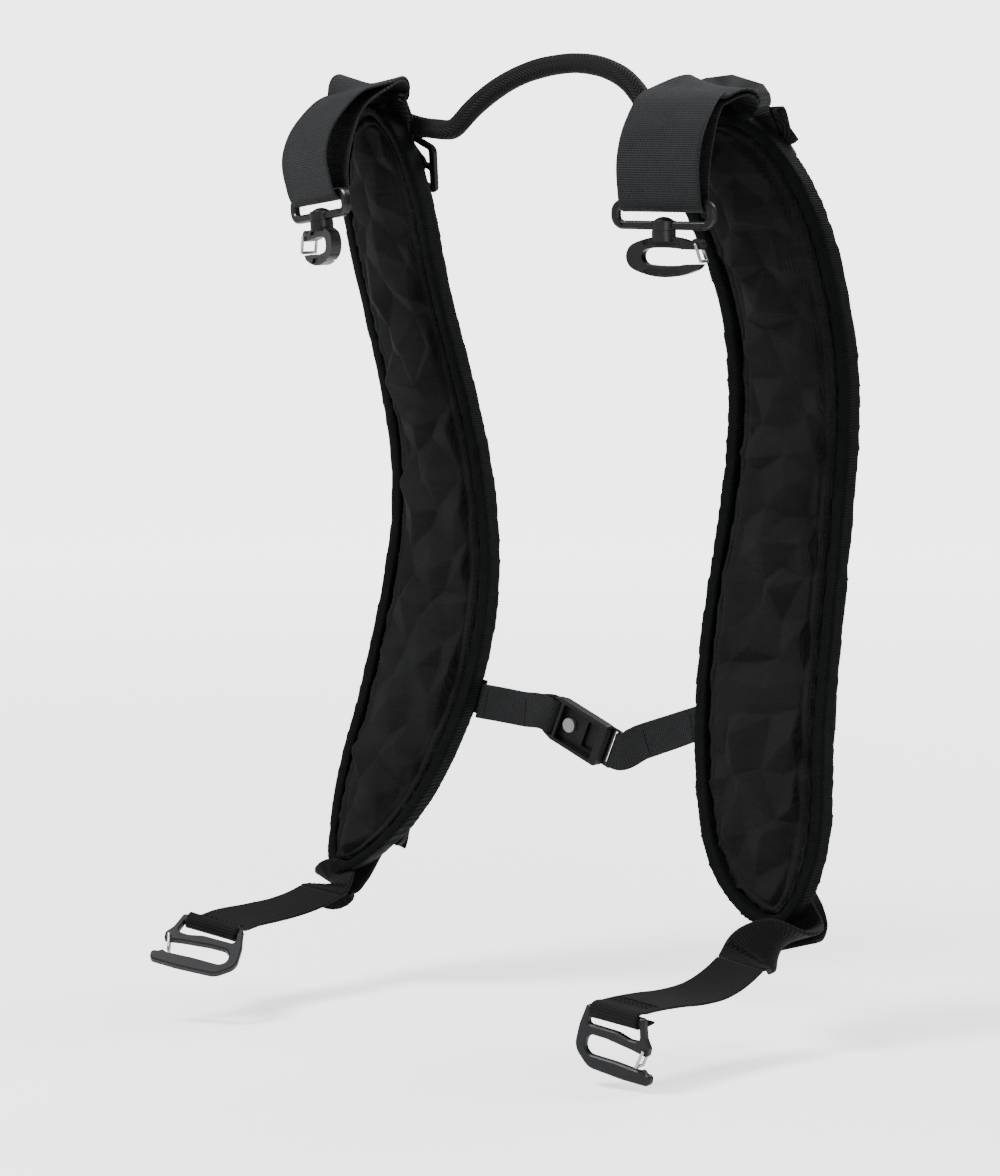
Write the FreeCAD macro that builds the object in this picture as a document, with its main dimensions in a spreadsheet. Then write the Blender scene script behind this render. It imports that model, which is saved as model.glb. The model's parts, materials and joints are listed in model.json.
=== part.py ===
import FreeCAD, Part
import Sketcher
import math
import os

Vector = FreeCAD.Vector

# A detachable padded shoulder harness: two S-curved shoulder pads joined by a grab handle and a
# sternum strap, with a swivel snap hook above and a flat G-hook below each pad.
# Origin: centre of the grab handle's grip. +X to the harness's right, +Y forwards (the side away
# from the wearer), +Z up. Millimetres and degrees.

# alias, value. Positions are for the right-hand pad; the left pad is its mirror image in X = 0.
DIMENSIONS = [
    # Pad stations from the shoulder end to the tip: centre, half width, and the turn of the width
    # about the vertical.
    ("pad_top_x", 107), ("pad_top_y", -21), ("pad_top_z", -25), ("pad_top_half", 34), ("pad_top_toe", 18),
    ("pad_neck_x", 131.5), ("pad_neck_y", 27), ("pad_neck_z", -128), ("pad_neck_half", 35.8),
    ("pad_neck_toe", 11),
    ("pad_mid_x", 121), ("pad_mid_y", 47), ("pad_mid_z", -229), ("pad_mid_half", 36.8), ("pad_mid_toe", 8),
    ("pad_chest_x", 118), ("pad_chest_y", 31), ("pad_chest_z", -337), ("pad_chest_half", 41.5),
    ("pad_chest_toe", 3),
    ("pad_tip_x", 155), ("pad_tip_y", -5), ("pad_tip_z", -459), ("pad_tip_half", 24.5), ("pad_tip_toe", 15),
    ("pad_top_round", 58), ("pad_tip_round", 54),
    # Pad thickness, all measured from the middle of its edge.
    ("edge_half_thick", 6), ("back_cloth", 1.5), ("face_cloth", 2), ("crown_edge", 3), ("crown_middle", 9),
    ("binding_width", 6.5), ("layer_gap", 0.3),
    # Webbing.
    ("web_thick", 1.6), ("ply_gap", 0.5), ("top_web", 48), ("lower_web", 30), ("chest_web", 20),
    ("sewn_gap", 0.6), ("top_web_gap", 1.5), ("shoulder_right_roll", 11), ("shoulder_right_toe", 12),
    ("shoulder_left_roll", 14), ("shoulder_left_toe", -19),
    # Top ring, swivel and snap hook.
    ("ring_x", 117.5), ("ring_y", -64), ("ring_z", -72), ("ring_right_toe", 12), ("ring_left_toe", -19),
    ("ring_right_roll", 0), ("ring_left_roll", -7),
    ("ring_inner_width", 50.4), ("ring_inner_height", 6.8), ("ring_bar", 4.6), ("ring_round", 7),
    ("ring_bevel", 0.9), ("boss_radius", 6.3), ("boss_height", 5), ("pin_radius", 2.5),
    ("run_gap", 0.05), ("pin_head_radius", 5.2), ("pin_head_height", 2), ("collar_radius", 6.4),
    ("collar_height", 5.5), ("collar_sink", 2.5), ("snap_half_length", 22), ("snap_shift", 1.5),
    ("snap_half_height", 10.7), ("snap_round", 7.6), ("snap_thick", 6), ("snap_mouth_length", 13),
    ("snap_mouth_height", 4.8), ("snap_mouth_round", 4.3), ("snap_recess", 1.1), ("snap_rim", 1.5),
    ("snap_pivot_inset", 3.6), ("snap_pivot_rise", 6.6), ("snap_eye_radius", 3.4), ("wire_radius", 0.85),
    ("wire_gap", 0.25), ("snap_right_turn", 0), ("snap_left_turn", -10),
    # Top slider on the pad's back.
    ("slider_width", 60), ("slider_height", 31), ("slider_bar", 3), ("slider_window", 10.6),
    ("slider_thick", 3), ("slider_bevel", 0.4), ("slider_from_top", 34),
    # G-hooks, at the bar that carries the webbing.
    ("g_right_x", 152), ("g_right_y", -150), ("g_right_z", -486), ("g_right_toe", 3), ("g_right_roll", 7),
    ("g_right_lean", -2),
    ("g_left_x", -141), ("g_left_y", -130.5), ("g_left_z", -474), ("g_left_toe", 22), ("g_left_roll", 13),
    ("g_left_lean", 49),
    # Sewn folds where the lower straps leave the anchor tabs.
    ("tab_right_x", 154), ("tab_right_y", -42), ("tab_right_z", -474), ("tab_right_toe", 13),
    ("tab_right_roll", 4), ("tab_right_droop", 24), ("tab_right_drift", -9),
    ("tab_left_x", -148), ("tab_left_y", -28), ("tab_left_z", -468), ("tab_left_toe", -23),
    ("tab_left_roll", 11), ("tab_left_droop", 11), ("tab_left_drift", 0),
    ("strap_right_rise", 3.4), ("strap_left_rise", -0.4),
    ("g_thick", 4.4), ("g_bevel", 0.7), ("g_slot_half", 15.4), ("g_bar_half", 2.2),
    # Ladder lock behind the pad's lower end.
    ("lock_width", 37), ("lock_height", 25), ("lock_bar", 3), ("lock_thick", 3.2), ("lock_from_tip", 50),
    ("lock_lean", 6), ("lock_stand_off", 8.5), ("lock_bevel", 0.5), ("web_clearance", 0.8),
    # Sternum strap and its magnetic buckle.
    ("chest_from_tip", 117), ("buckle_x", -1.5), ("buckle_y", 23), ("buckle_z", -370.5),
    ("buckle_slope", 23),
    ("tray_length", 34), ("tray_width", 25), ("tray_depth", 6), ("tray_wall", 2), ("disc_radius", 4),
    ("disc_height", 2.4),
    # Grab handle.
    ("grip_radius", 5.7), ("grip_wall", 1.6), ("handle_from_top", 20), ("handle_right_rise", 3),
    ("handle_right_reach", 10), ("handle_left_rise", 17), ("handle_left_reach", 6),
    ("handle_tab_width", 22), ("handle_tab_thick", 3), ("flank_x", 46),
    ("flank_y", -3), ("flank_right_z", -7), ("flank_left_z", -16),
]

doc = FreeCAD.newDocument("harness")
sheet = doc.addObject("Spreadsheet::Sheet", "dims")
for row, (alias, value) in enumerate(DIMENSIONS, start=1):
    sheet.set(f"A{row}", alias)
    sheet.set(f"B{row}", str(value))
    sheet.setAlias(f"B{row}", alias)
doc.recompute()

SIDES = {"right": 1, "left": -1}  # the sign of X on each side
parts = []


def dim(alias):
    return float(sheet.get(alias))


def mirrored(point, side):
    return Vector(point.x * side, point.y, point.z)


# ---------------------------------------------------------------- document helpers

def finished(obj, name):
    obj.Label = name
    parts.append(obj)
    return obj


def shaped(name, shape):
    """A sub-part whose freeform shape is set directly."""
    feature = doc.addObject("Part::Feature", name)
    feature.Shape = shape
    return finished(feature, name)


def new_body(name):
    return doc.addObject("PartDesign::Body", name)


def new_sketch(body, role, name):
    sketch = body.newObject("Sketcher::SketchObject", f"{body.Name}_{name}")
    plane = [part for part in body.Origin.OriginFeatures if part.Role == role][0]
    sketch.AttachmentSupport = [(plane, "")]
    sketch.MapMode = "FlatFace"
    return sketch


def new_feature(body, kind, sketch, name, **lengths):
    """A pad, pocket or revolution whose lengths are bound to cells of the sheet."""
    feature = body.newObject(f"PartDesign::{kind}", f"{body.Name}_{name}")
    feature.Profile = sketch
    for prop, expression in lengths.items():
        feature.setExpression(prop, expression)
    return feature


def symmetric(feature):
    feature.SideType = "Symmetric"
    return feature


def cut_through(body, sketch, name):
    """A pocket through everything on both sides of its sketch."""
    pocket = new_feature(body, "Pocket", sketch, name)
    pocket.Type = "ThroughAll"
    pocket.SideType = "Symmetric"
    return pocket


def bevel(body, base, faces_across, size_expression):
    """Chamfers the rims of the two flat faces that look along faces_across."""
    doc.recompute()
    rims = set()
    for face in base.Shape.Faces:
        if isinstance(face.Surface, Part.Plane) and face.Surface.Axis.cross(faces_across).Length < 1e-6:
            for edge in face.Edges:
                rims.add(edge.hashCode())
    names = [f"Edge{i + 1}" for i, edge in enumerate(base.Shape.Edges) if edge.hashCode() in rims]
    chamfer = body.newObject("PartDesign::Chamfer", f"{body.Name}_bevel")
    chamfer.Base = (base, names)
    chamfer.setExpression("Size", size_expression)
    return chamfer


def placed(obj, origin, across, up):
    """Puts a part's own origin at a point, its X along across and its Z as near to up as it can be."""
    turn = FreeCAD.Rotation(across, Vector(), up, "XZY")
    obj.Placement = FreeCAD.Placement(origin, turn)
    return obj


def circle(sketch, x, y, radius_expression):
    index = sketch.addGeometry(Part.Circle(Vector(x, y, 0), Vector(0, 0, 1), 1.0 + abs(x)))
    sketch.addConstraint(Sketcher.Constraint("Radius", index, 1.0 + abs(x)))
    name = f"radius_{index}"
    sketch.renameConstraint(sketch.ConstraintCount - 1, name)
    sketch.setExpression(f"Constraints.{name}", radius_expression)
    return index


def outline(sketch, corners):
    """A closed outline of straight runs whose corners (x, y, radius) are rounded by arcs."""
    runs = []
    count = len(corners)
    for i in range(count):
        before = Vector(*corners[i - 1][:2], 0)
        here = Vector(*corners[i][:2], 0)
        after = Vector(*corners[(i + 1) % count][:2], 0)
        radius = corners[i][2]
        back = (before - here).normalize()
        ahead = (after - here).normalize()
        half_turn = back.getAngle(ahead) / 2
        reach = radius / math.tan(half_turn)
        start = here + back * reach
        end = here + ahead * reach
        middle_way = (back + ahead).normalize()
        centre = here + middle_way * (radius / math.sin(half_turn))
        middle = centre - middle_way * radius
        runs.append((start, middle, end))
    for i in range(count):
        start, middle, end = runs[i]
        if corners[i][2] > 0:
            sketch.addGeometry(Part.Arc(start, middle, end))
        following = runs[(i + 1) % count][0]
        if (following - end).Length > 1e-6:
            sketch.addGeometry(Part.LineSegment(end, following))


def rounded_box(sketch, half_width, low, high, radius):
    outline(sketch, [(-half_width, low, radius), (half_width, low, radius),
                     (half_width, high, radius), (-half_width, high, radius)])


def oval(sketch, centre_x, centre_y, half_length, half_height, end_radius):
    """A four-arc oval: tight round ends joined tangentially by shallow arcs."""
    reach = half_length - end_radius
    side_radius = (reach ** 2 + half_height ** 2 - end_radius ** 2) / (2 * (half_height - end_radius))
    drop = side_radius - half_height
    lean = math.atan2(reach, drop)
    for sign in (1, -1):
        side_centre = Vector(centre_x, centre_y - sign * drop, 0)
        along = Vector(math.sin(lean), sign * math.cos(lean), 0) * side_radius
        left = Vector(-along.x, along.y, 0)
        sketch.addGeometry(Part.Arc(side_centre + left, side_centre + Vector(0, sign * side_radius, 0),
                                    side_centre + along))
        end_centre = Vector(centre_x + sign * reach, centre_y, 0)
        corner = Vector(sign * math.sin(lean), math.cos(lean), 0) * end_radius
        lower = Vector(corner.x, -corner.y, 0)
        sketch.addGeometry(Part.Arc(end_centre + corner, end_centre + Vector(sign * end_radius, 0, 0),
                                    end_centre + lower))


# ---------------------------------------------------------------- soft goods helpers

def smooth(points, knots=None):
    curve = Part.BSplineCurve()
    if knots:
        curve.interpolate(Points=points, Parameters=knots)
    else:
        curve.interpolate(Points=points)
    return curve


def eased(vectors, knots, at):
    """The vector at a distance, easing from each given vector to the next."""
    i = 0
    while i < len(knots) - 2 and at > knots[i + 1]:
        i += 1
    share = min(max((at - knots[i]) / (knots[i + 1] - knots[i]), 0.0), 1.0)
    share = share * share * (3 - 2 * share)
    return vectors[i] * (1 - share) + vectors[i + 1] * share


def ribbon(centres, acrosses, width, thick):
    """A strip of webbing: it follows the centres, and its width turns from across to across."""
    knots = [0.0]
    for before, after in zip(centres, centres[1:]):
        knots.append(knots[-1] + (after - before).Length)
    path = smooth(centres, knots)
    stops = [first + (last - first) * part / 3 for first, last in zip(knots, knots[1:]) for part in range(3)]
    sections = []
    for at in [*stops, knots[-1]]:
        along = path.tangent(at)[0]
        across = eased(acrosses, knots, at)
        across = (across - along * across.dot(along)).normalize()
        out = along.cross(across).normalize()
        ring = [path.value(at) + across * (u * width / 2) + out * (v * thick / 2)
                for u, v in ((-1, -1), (1, -1), (1, 1), (-1, 1))]
        sections.append(Part.makePolygon(ring + ring[:1]))
    return Part.makeLoft(sections, True)


def bent_wire(points, radius):
    """Round wire through the points, with a ball at each bend."""
    solid = None
    for start, end in zip(points, points[1:]):
        rod = Part.makeCylinder(radius, (end - start).Length, start, end - start)
        solid = rod if solid is None else solid.fuse(rod)
    for bend in points[1:-1]:
        solid = solid.fuse(Part.makeSphere(radius, bend))
    return solid.removeSplitter()


# ---------------------------------------------------------------- shoulder pads

STATIONS = ("top", "neck", "mid", "chest", "tip")


class Pad:
    """The middle surface of one shoulder pad, measured by distance down from its top end."""

    def __init__(self, side):
        self.side = side
        knots = [float(i) for i in range(len(STATIONS))]
        centres = [mirrored(Vector(dim(f"pad_{s}_x"), dim(f"pad_{s}_y"), dim(f"pad_{s}_z")), side)
                   for s in STATIONS]
        self.centre = smooth(centres, knots)
        self.sizes = smooth([Vector(dim(f"pad_{s}_half"), dim(f"pad_{s}_toe"), 0) for s in STATIONS], knots)
        self.length = self.centre.length()

    def at(self, distance):
        """Centre, direction down the pad, direction of its width (to +X) and the face's outward normal."""
        inside = min(max(distance, 0.0), self.length)
        knot = self.centre.parameterAtDistance(inside, 0.0)
        down = self.centre.tangent(knot)[0]
        centre = self.centre.value(knot) + down * (distance - inside)
        toe = math.radians(self.sizes.value(knot).y) * self.side
        width = Vector(math.cos(toe), math.sin(toe), 0)
        width = (width - down * width.dot(down)).normalize()
        normal = down.cross(width).normalize()
        if normal.y > 0:
            normal = normal * -1
        return centre, down, width, normal

    def half_width(self, distance):
        knot = self.centre.parameterAtDistance(min(max(distance, 0.0), self.length), 0.0)
        return self.sizes.value(knot).x

    def back(self, distance, out, along_width=0.0):
        """A point behind the pad, out beyond the middle of its edge."""
        centre, down, width, normal = self.at(distance)
        return centre - normal * out + width * along_width

    def outline_prism(self, inset):
        """The pad's outline, drawn as seen from the front and drawn inwards by inset, as a deep prism."""
        start = inset
        end = self.length - inset
        rounds = (dim("pad_top_round") - inset, dim("pad_tip_round") - inset)
        stops = []
        for angle in (25, 50, 75):
            stops.append(start + rounds[0] * (1 - math.cos(math.radians(angle))))
        for i in range(5):
            first = start + rounds[0]
            last = end - rounds[1]
            stops.append(first + (last - first) * (i + 0.5) / 5)
        for angle in (75, 50, 25):
            stops.append(end - rounds[1] * (1 - math.cos(math.radians(angle))))
        edges = {1: [], -1: []}
        for stop in stops:
            near_top = min((stop - start) / rounds[0], 1.0)
            near_tip = min((end - stop) / rounds[1], 1.0)
            fullness = math.sqrt((1 - (1 - near_top) ** 2) * (1 - (1 - near_tip) ** 2))
            half = (self.half_width(stop) - inset) * fullness
            centre, down, width, normal = self.at(stop)
            for sign in (1, -1):
                edges[sign].append(centre + width * (sign * half))
        loop = [self.at(start)[0]] + edges[1] + [self.at(end)[0]] + edges[-1][::-1]
        depth = 400
        flat = [Vector(p.x, -depth, p.z) for p in loop]
        curve = Part.BSplineCurve()
        curve.interpolate(Points=flat, PeriodicFlag=True)
        return Part.Face(Part.Wire(curve.toShape())).extrude(Vector(0, 2 * depth, 0))

    def layer(self, under, over):
        """A layer wider and longer than the pad. Its underside and its top are each given as a height
        at the pad's edge and a height along the pad's middle."""
        beyond = 20
        overhang = 6
        stops = [-beyond] + [self.length * i / 8 for i in range(9)] + [self.length + beyond]
        sections = []
        for stop in stops:
            centre, down, width, normal = self.at(stop)
            inner = self.half_width(stop) - dim("binding_width")
            reach = inner + dim("binding_width") + overhang
            near_end = min(max(stop, 0), max(self.length - stop, 0)) / dim("pad_top_round")
            fullness = min(0.35 + near_end, 1.0)
            rows = []
            for edge, middle in (under, over):
                rise = (middle - edge) * fullness
                shares = ((-reach, 0), (-inner * 0.62, 0.62), (0, 1), (inner * 0.62, 0.62), (reach, 0))
                rows.append([centre + width * u + normal * (edge + rise * share) for u, share in shares])
            below = smooth(rows[0]).toShape()
            above = smooth(rows[1][::-1]).toShape()
            sides = [Part.makeLine(rows[0][-1], rows[1][-1]), Part.makeLine(rows[1][0], rows[0][0])]
            sections.append(Part.Wire([below, sides[0], above, sides[1]]))
        return Part.makeLoft(sections, True)


def build_pad(pad, name):
    edge = dim("edge_half_thick")
    gap = dim("layer_gap")
    back_low = 0.5 - edge
    back_high = back_low + dim("back_cloth")
    crown = (dim("crown_edge"), dim("crown_middle"))
    under_face = (crown[0] + gap, crown[1] + gap)
    over_face = (under_face[0] + dim("face_cloth"), under_face[1] + dim("face_cloth"))
    inside = pad.outline_prism(dim("binding_width") + gap)
    back = pad.layer((back_low, back_low), (back_high, back_high))
    shaped(f"back_panel_{name}", back.common(inside))
    core = pad.layer((back_high + gap, back_high + gap), crown)
    shaped(f"foam_core_{name}", core.common(inside))
    shaped(f"face_panel_{name}", pad.layer(under_face, over_face).common(inside))
    rim = pad.layer((-edge, -edge), (edge, edge)).common(pad.outline_prism(0))
    shaped(f"edge_binding_{name}", rim.cut(pad.outline_prism(dim("binding_width"))))


# ---------------------------------------------------------------- top strap, ring, swivel and snap hook

def turned_across(name):
    """The direction of a width that is turned by a toe angle and rolled down to the right."""
    toe = math.radians(dim(f"{name}_toe"))
    roll = math.radians(dim(f"{name}_roll"))
    return Vector(math.cos(toe) * math.cos(roll), math.sin(toe) * math.cos(roll), -math.sin(roll))


def upright(across):
    """The direction square to across that is nearest to straight up."""
    up = Vector(0, 0, 1)
    return (up - across * up.dot(across)).normalize()


def ring_frame(name):
    """Centre of the ring's upper bar, the bar's direction, the ring's up and its forward direction."""
    across = turned_across(f"ring_{name}")
    up = upright(across)
    return Vector(dim("ring_x") * SIDES[name], dim("ring_y"), dim("ring_z")), across, up, across.cross(up)


def build_top_strap(pad, name):
    """One length of webbing: sewn to the pad's back, through the slider, over the pad's end, round the
    ring's bar and back under itself."""
    bar, across, up, forward = ring_frame(name)
    thick = dim("web_thick")
    behind = dim("edge_half_thick") + dim("top_web_gap") + thick / 2
    ply = thick + dim("ply_gap")
    slider = dim("slider_from_top")
    pitch = dim("slider_bar") + dim("slider_window")
    over = behind + ply + 2 * dim("slider_thick")

    def level(forwards, upwards):
        return bar + forward * forwards + up * upwards

    centres = [pad.back(slider + pitch + 15, behind), pad.back(slider + pitch + 7, behind),
               pad.back(slider + pitch, behind),
               pad.back(slider + pitch / 2, (behind + over) / 2), pad.back(slider, over),
               pad.back(slider - pitch / 2, (behind + ply + over) / 2),
               pad.back(slider - pitch, behind + ply)]
    acrosses = [pad.at(slider)[2]] * len(centres)
    end = pad.at(0)[0]
    shoulder = turned_across(f"shoulder_{name}")
    centres += [pad.back(5, behind + ply + 1.3), end + Vector(0, 3, 9.6)]
    acrosses += [pad.at(5)[2], shoulder]
    loop_top = [(-30, 58.5), (-19, 55.5), (-6, 46), (4, 34), (8.5, 21.5), (7.5, 9)]
    wrap = dim("ring_bar") / 2 + dim("web_clearance") + thick / 2
    turns = [-50, -90, -135, -180]
    round_bar = [(wrap * math.cos(math.radians(a)), wrap * math.sin(math.radians(a))) for a in turns]
    under = [(-4.5, 11), (-9, 29), (-18, 46), (-30, 54.5)]
    for forwards, upwards in loop_top + round_bar + under:
        centres.append(level(forwards, upwards))
        acrosses.append(across)
    centres += [end + Vector(0, 2.8, 6.8), pad.back(5, behind + 1.3), pad.back(12, behind + 0.3)]
    acrosses += [shoulder, pad.at(5)[2], pad.at(12)[2]]
    shaped(f"top_strap_{name}", ribbon(centres, acrosses, dim("top_web"), thick))


def build_slider(pad, name):
    body = new_body(f"top_slider_{name}")
    plan = new_sketch(body, "XZ_Plane", "plan")
    half = dim("slider_width") / 2
    high = dim("slider_height") / 2
    rounded_box(plan, half, -high, high, 4)
    symmetric(new_feature(body, "Pad", plan, "frame", Length="dims.slider_thick"))
    windows = new_sketch(body, "XZ_Plane", "windows")
    inner = dim("top_web") / 2 + 1.2
    bar = dim("slider_bar") / 2
    for low, top in ((bar, bar + dim("slider_window")), (-bar - dim("slider_window"), -bar)):
        rounded_box(windows, inner, low, top, 1)
    through = cut_through(body, windows, "slots")
    bevel(body, through, Vector(0, 1, 0), "dims.slider_bevel")
    centre, down, width, normal = pad.at(dim("slider_from_top"))
    out = (dim("edge_half_thick") + dim("top_web_gap") + 2 * dim("web_thick") + dim("ply_gap")
           + dim("layer_gap") + dim("slider_thick") / 2)
    placed(body, centre - normal * out, width, down * -1)
    finished(body, f"top_slider_{name}")


def build_ring(name):
    body = new_body(f"ring_{name}")
    bar = dim("ring_bar")
    half = dim("ring_inner_width") / 2
    low = -bar / 2 - dim("ring_inner_height")
    plan = new_sketch(body, "XZ_Plane", "plan")
    rounded_box(plan, half + bar, low - bar, bar / 2, dim("ring_round"))
    rounded_box(plan, half, low, -bar / 2, dim("ring_round") - bar)
    frame = symmetric(new_feature(body, "Pad", plan, "frame", Length="dims.ring_bar"))
    bevel(body, frame, Vector(0, 1, 0), "dims.ring_bevel")
    middle = low - bar / 2
    boss_plan = new_sketch(body, "XY_Plane", "boss_plan")
    boss_plan.AttachmentOffset = FreeCAD.Placement(Vector(0, 0, middle), FreeCAD.Rotation())
    circle(boss_plan, 0, 0, "dims.boss_radius")
    symmetric(new_feature(body, "Pad", boss_plan, "boss", Length="dims.boss_height"))
    bore_plan = new_sketch(body, "XY_Plane", "bore_plan")
    circle(bore_plan, 0, 0, "dims.pin_radius + dims.run_gap")
    cut_through(body, bore_plan, "bore")
    origin, across, up, forward = ring_frame(name)
    placed(body, origin, across, up)
    finished(body, f"ring_{name}")


def swivel_frame(name):
    """Centre of the ring's lower bar on the swivel's axis, the snap hook's length towards its opening,
    and the axis itself."""
    origin, across, up, forward = ring_frame(name)
    turn = FreeCAD.Rotation(up, dim(f"snap_{name}_turn"))
    length = turn.multVec(across * SIDES[name])
    return origin - up * (dim("ring_inner_height") + dim("ring_bar")), length, up


def build_swivel_pin(name):
    """Domed head above the ring's boss, and a shank down into the hook's collar."""
    body = new_body(f"swivel_pin_{name}")
    profile = new_sketch(body, "XZ_Plane", "profile")
    top = dim("boss_height") / 2 + 0.1
    head = dim("pin_head_radius")
    rise = dim("pin_head_height")
    shank = dim("pin_radius")
    foot = -dim("boss_height") / 2 - dim("collar_height") + 1
    sphere = (head ** 2 + rise ** 2) / (2 * rise)
    half_angle = math.asin(head / sphere) / 2
    dome_middle = Vector(sphere * math.sin(half_angle), top + rise - sphere * (1 - math.cos(half_angle)), 0)
    profile.addGeometry(Part.LineSegment(Vector(0, foot, 0), Vector(shank, foot, 0)))
    profile.addGeometry(Part.LineSegment(Vector(shank, foot, 0), Vector(shank, top, 0)))
    profile.addGeometry(Part.LineSegment(Vector(shank, top, 0), Vector(head, top, 0)))
    profile.addGeometry(Part.Arc(Vector(head, top, 0), dome_middle, Vector(0, top + rise, 0)))
    profile.addGeometry(Part.LineSegment(Vector(0, top + rise, 0), Vector(0, foot, 0)))
    turned = new_feature(body, "Revolution", profile, "turned")
    turned.ReferenceAxis = (profile, ["V_Axis"])
    turned.Angle = 360
    placed(body, *swivel_frame(name))
    finished(body, f"swivel_pin_{name}")


def snap_layout():
    """Heights of the collar's top and the oval's middle, and the gate pivot's place, all measured from
    the swivel's origin."""
    collar_top = -dim("boss_height") / 2 - 0.15
    middle = collar_top - dim("collar_height") + dim("collar_sink") - dim("snap_half_height")
    pivot_x = dim("snap_half_length") + dim("snap_shift") - dim("snap_pivot_inset")
    return collar_top, middle, pivot_x, middle + dim("snap_pivot_rise")


def build_snap_hook(name):
    body = new_body(f"snap_hook_{name}")
    collar_top, middle, pivot_x, pivot_z = snap_layout()
    half_length = dim("snap_half_length")
    half_height = dim("snap_half_height")
    rim = dim("snap_rim")
    plan = new_sketch(body, "XZ_Plane", "plan")
    oval(plan, dim("snap_shift"), middle, half_length, half_height, dim("snap_round"))
    symmetric(new_feature(body, "Pad", plan, "plate", Length="dims.snap_thick"))
    collar_plan = new_sketch(body, "XY_Plane", "collar_plan")
    collar_plan.AttachmentOffset = FreeCAD.Placement(Vector(0, 0, collar_top), FreeCAD.Rotation())
    circle(collar_plan, 0, 0, "dims.collar_radius")
    collar = new_feature(body, "Pad", collar_plan, "collar", Length="dims.collar_height")
    collar.Reversed = True
    eye_plan = new_sketch(body, "XZ_Plane", "eye_plan")
    circle(eye_plan, pivot_x, pivot_z, "dims.snap_eye_radius")
    symmetric(new_feature(body, "Pad", eye_plan, "eye", Length="dims.snap_thick"))
    mouth = new_sketch(body, "XZ_Plane", "mouth")
    oval(mouth, dim("snap_shift"), middle, dim("snap_mouth_length"), dim("snap_mouth_height"),
         dim("snap_mouth_round"))
    cut_through(body, mouth, "mouth_cut")
    opening = new_sketch(body, "XZ_Plane", "opening")
    outline(opening, [(8, middle - 4.1, 0.5), (half_length + 8, middle - 3.2, 0.5),
                      (half_length + 8, middle + 3.9, 0.5), (8, middle + 4.1, 0.5)])
    cut_through(body, opening, "opening_cut")
    for face, reverse in (("front", False), ("back", True)):
        recess = new_sketch(body, "XZ_Plane", f"{face}_recess")
        shift = dim("snap_thick") / 2
        recess.AttachmentOffset = FreeCAD.Placement(Vector(0, 0, shift if not reverse else -shift),
                                                    FreeCAD.Rotation())
        for sign in (1, -1):
            inner = sign * (dim("snap_mouth_height") + rim)
            outer = sign * (half_height - rim)
            low, high = sorted((middle + inner, middle + outer))
            outline(recess, [(-12, low, 0.8), (12, low, 0.8), (9, high, 0.8), (-9, high, 0.8)])
        pocket = new_feature(body, "Pocket", recess, f"{face}_pocket", Length="dims.snap_recess")
        pocket.Reversed = reverse
    pin_plan = new_sketch(body, "XY_Plane", "pin_plan")
    pin_plan.AttachmentOffset = FreeCAD.Placement(Vector(0, 0, collar_top), FreeCAD.Rotation())
    circle(pin_plan, 0, 0, "dims.pin_radius + 0.02")
    new_feature(body, "Pocket", pin_plan, "pin_seat", Length="dims.collar_height - 0.4")
    pivot_plan = new_sketch(body, "XZ_Plane", "pivot_plan")
    circle(pivot_plan, pivot_x, pivot_z, "dims.wire_radius + dims.run_gap")
    cut_through(body, pivot_plan, "pivot_hole")
    placed(body, *swivel_frame(name))
    finished(body, f"snap_hook_{name}")


def build_snap_gate(name):
    """A bent wire gate: its legs pass outside the jaws, and its ends sit in the pivot hole."""
    collar_top, middle, pivot_x, pivot_z = snap_layout()
    radius = dim("wire_radius")
    leg = dim("snap_thick") / 2 + radius + dim("wire_gap")
    nose_x = dim("snap_half_length") + dim("snap_shift") - 0.6
    nose_z = middle - 2.0
    path = [Vector(pivot_x, -leg, pivot_z), Vector(nose_x, -leg, nose_z), Vector(nose_x, leg, nose_z),
            Vector(pivot_x, leg, pivot_z)]
    wire = bent_wire([Vector(pivot_x, -1.0, pivot_z), *path, Vector(pivot_x, 1.0, pivot_z)], radius)
    gate = shaped(f"snap_gate_{name}", wire)
    placed(gate, *swivel_frame(name))


# ---------------------------------------------------------------- lower strap and G-hook

def hook_frame(name):
    """The G-hook's bar centre, its bar's direction, its plate's upward direction, and the directions
    up and back for the webbing round the bar."""
    lean = math.radians(dim(f"g_{name}_lean"))
    across = turned_across(f"g_{name}")
    level_up = upright(across)
    back = level_up.cross(across).normalize()
    up = level_up * math.cos(lean) + back * math.sin(lean)
    return Vector(dim(f"g_{name}_x"), dim(f"g_{name}_y"), dim(f"g_{name}_z")), across, up, level_up, back


def tab_end(name):
    """Where the anchor tab's sewn fold ends, its width's direction and the direction the tab leaves in."""
    fold = Vector(dim(f"tab_{name}_x"), dim(f"tab_{name}_y"), dim(f"tab_{name}_z"))
    droop = math.radians(dim(f"tab_{name}_droop"))
    level_run = hook_frame(name)[0] - fold
    level_run.z = 0
    away = level_run.normalize() * math.cos(droop) - Vector(0, 0, math.sin(droop))
    across = turned_across(f"tab_{name}")
    across = (across - away * across.dot(away)).normalize()
    return fold, across, away


def build_anchor_tab(pad, name):
    """Folded webbing sewn behind the pad's tip, passing below it and ending in the sewn fold."""
    end, across, away = tab_end(name)
    thick = 2 * dim("web_thick")
    behind = dim("edge_half_thick") + dim("sewn_gap") + thick / 2
    drift = dim(f"tab_{name}_drift")
    places = [(-32, behind, 0), (-16, behind, 0.3), (0, behind, 0.75), (7, behind - 1.8, 1), (10.5, 1.5, 1)]
    centres = [pad.back(pad.length + along, out, drift * share) for along, out, share in places]
    acrosses = [pad.at(pad.length + along)[2] for along, out, share in places]
    centres += [end - away * 10, end - away * 4, end]
    acrosses += [(acrosses[-1] + across).normalize(), across, across]
    shaped(f"anchor_tab_{name}", ribbon(centres, acrosses, dim("lower_web"), thick))


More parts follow.
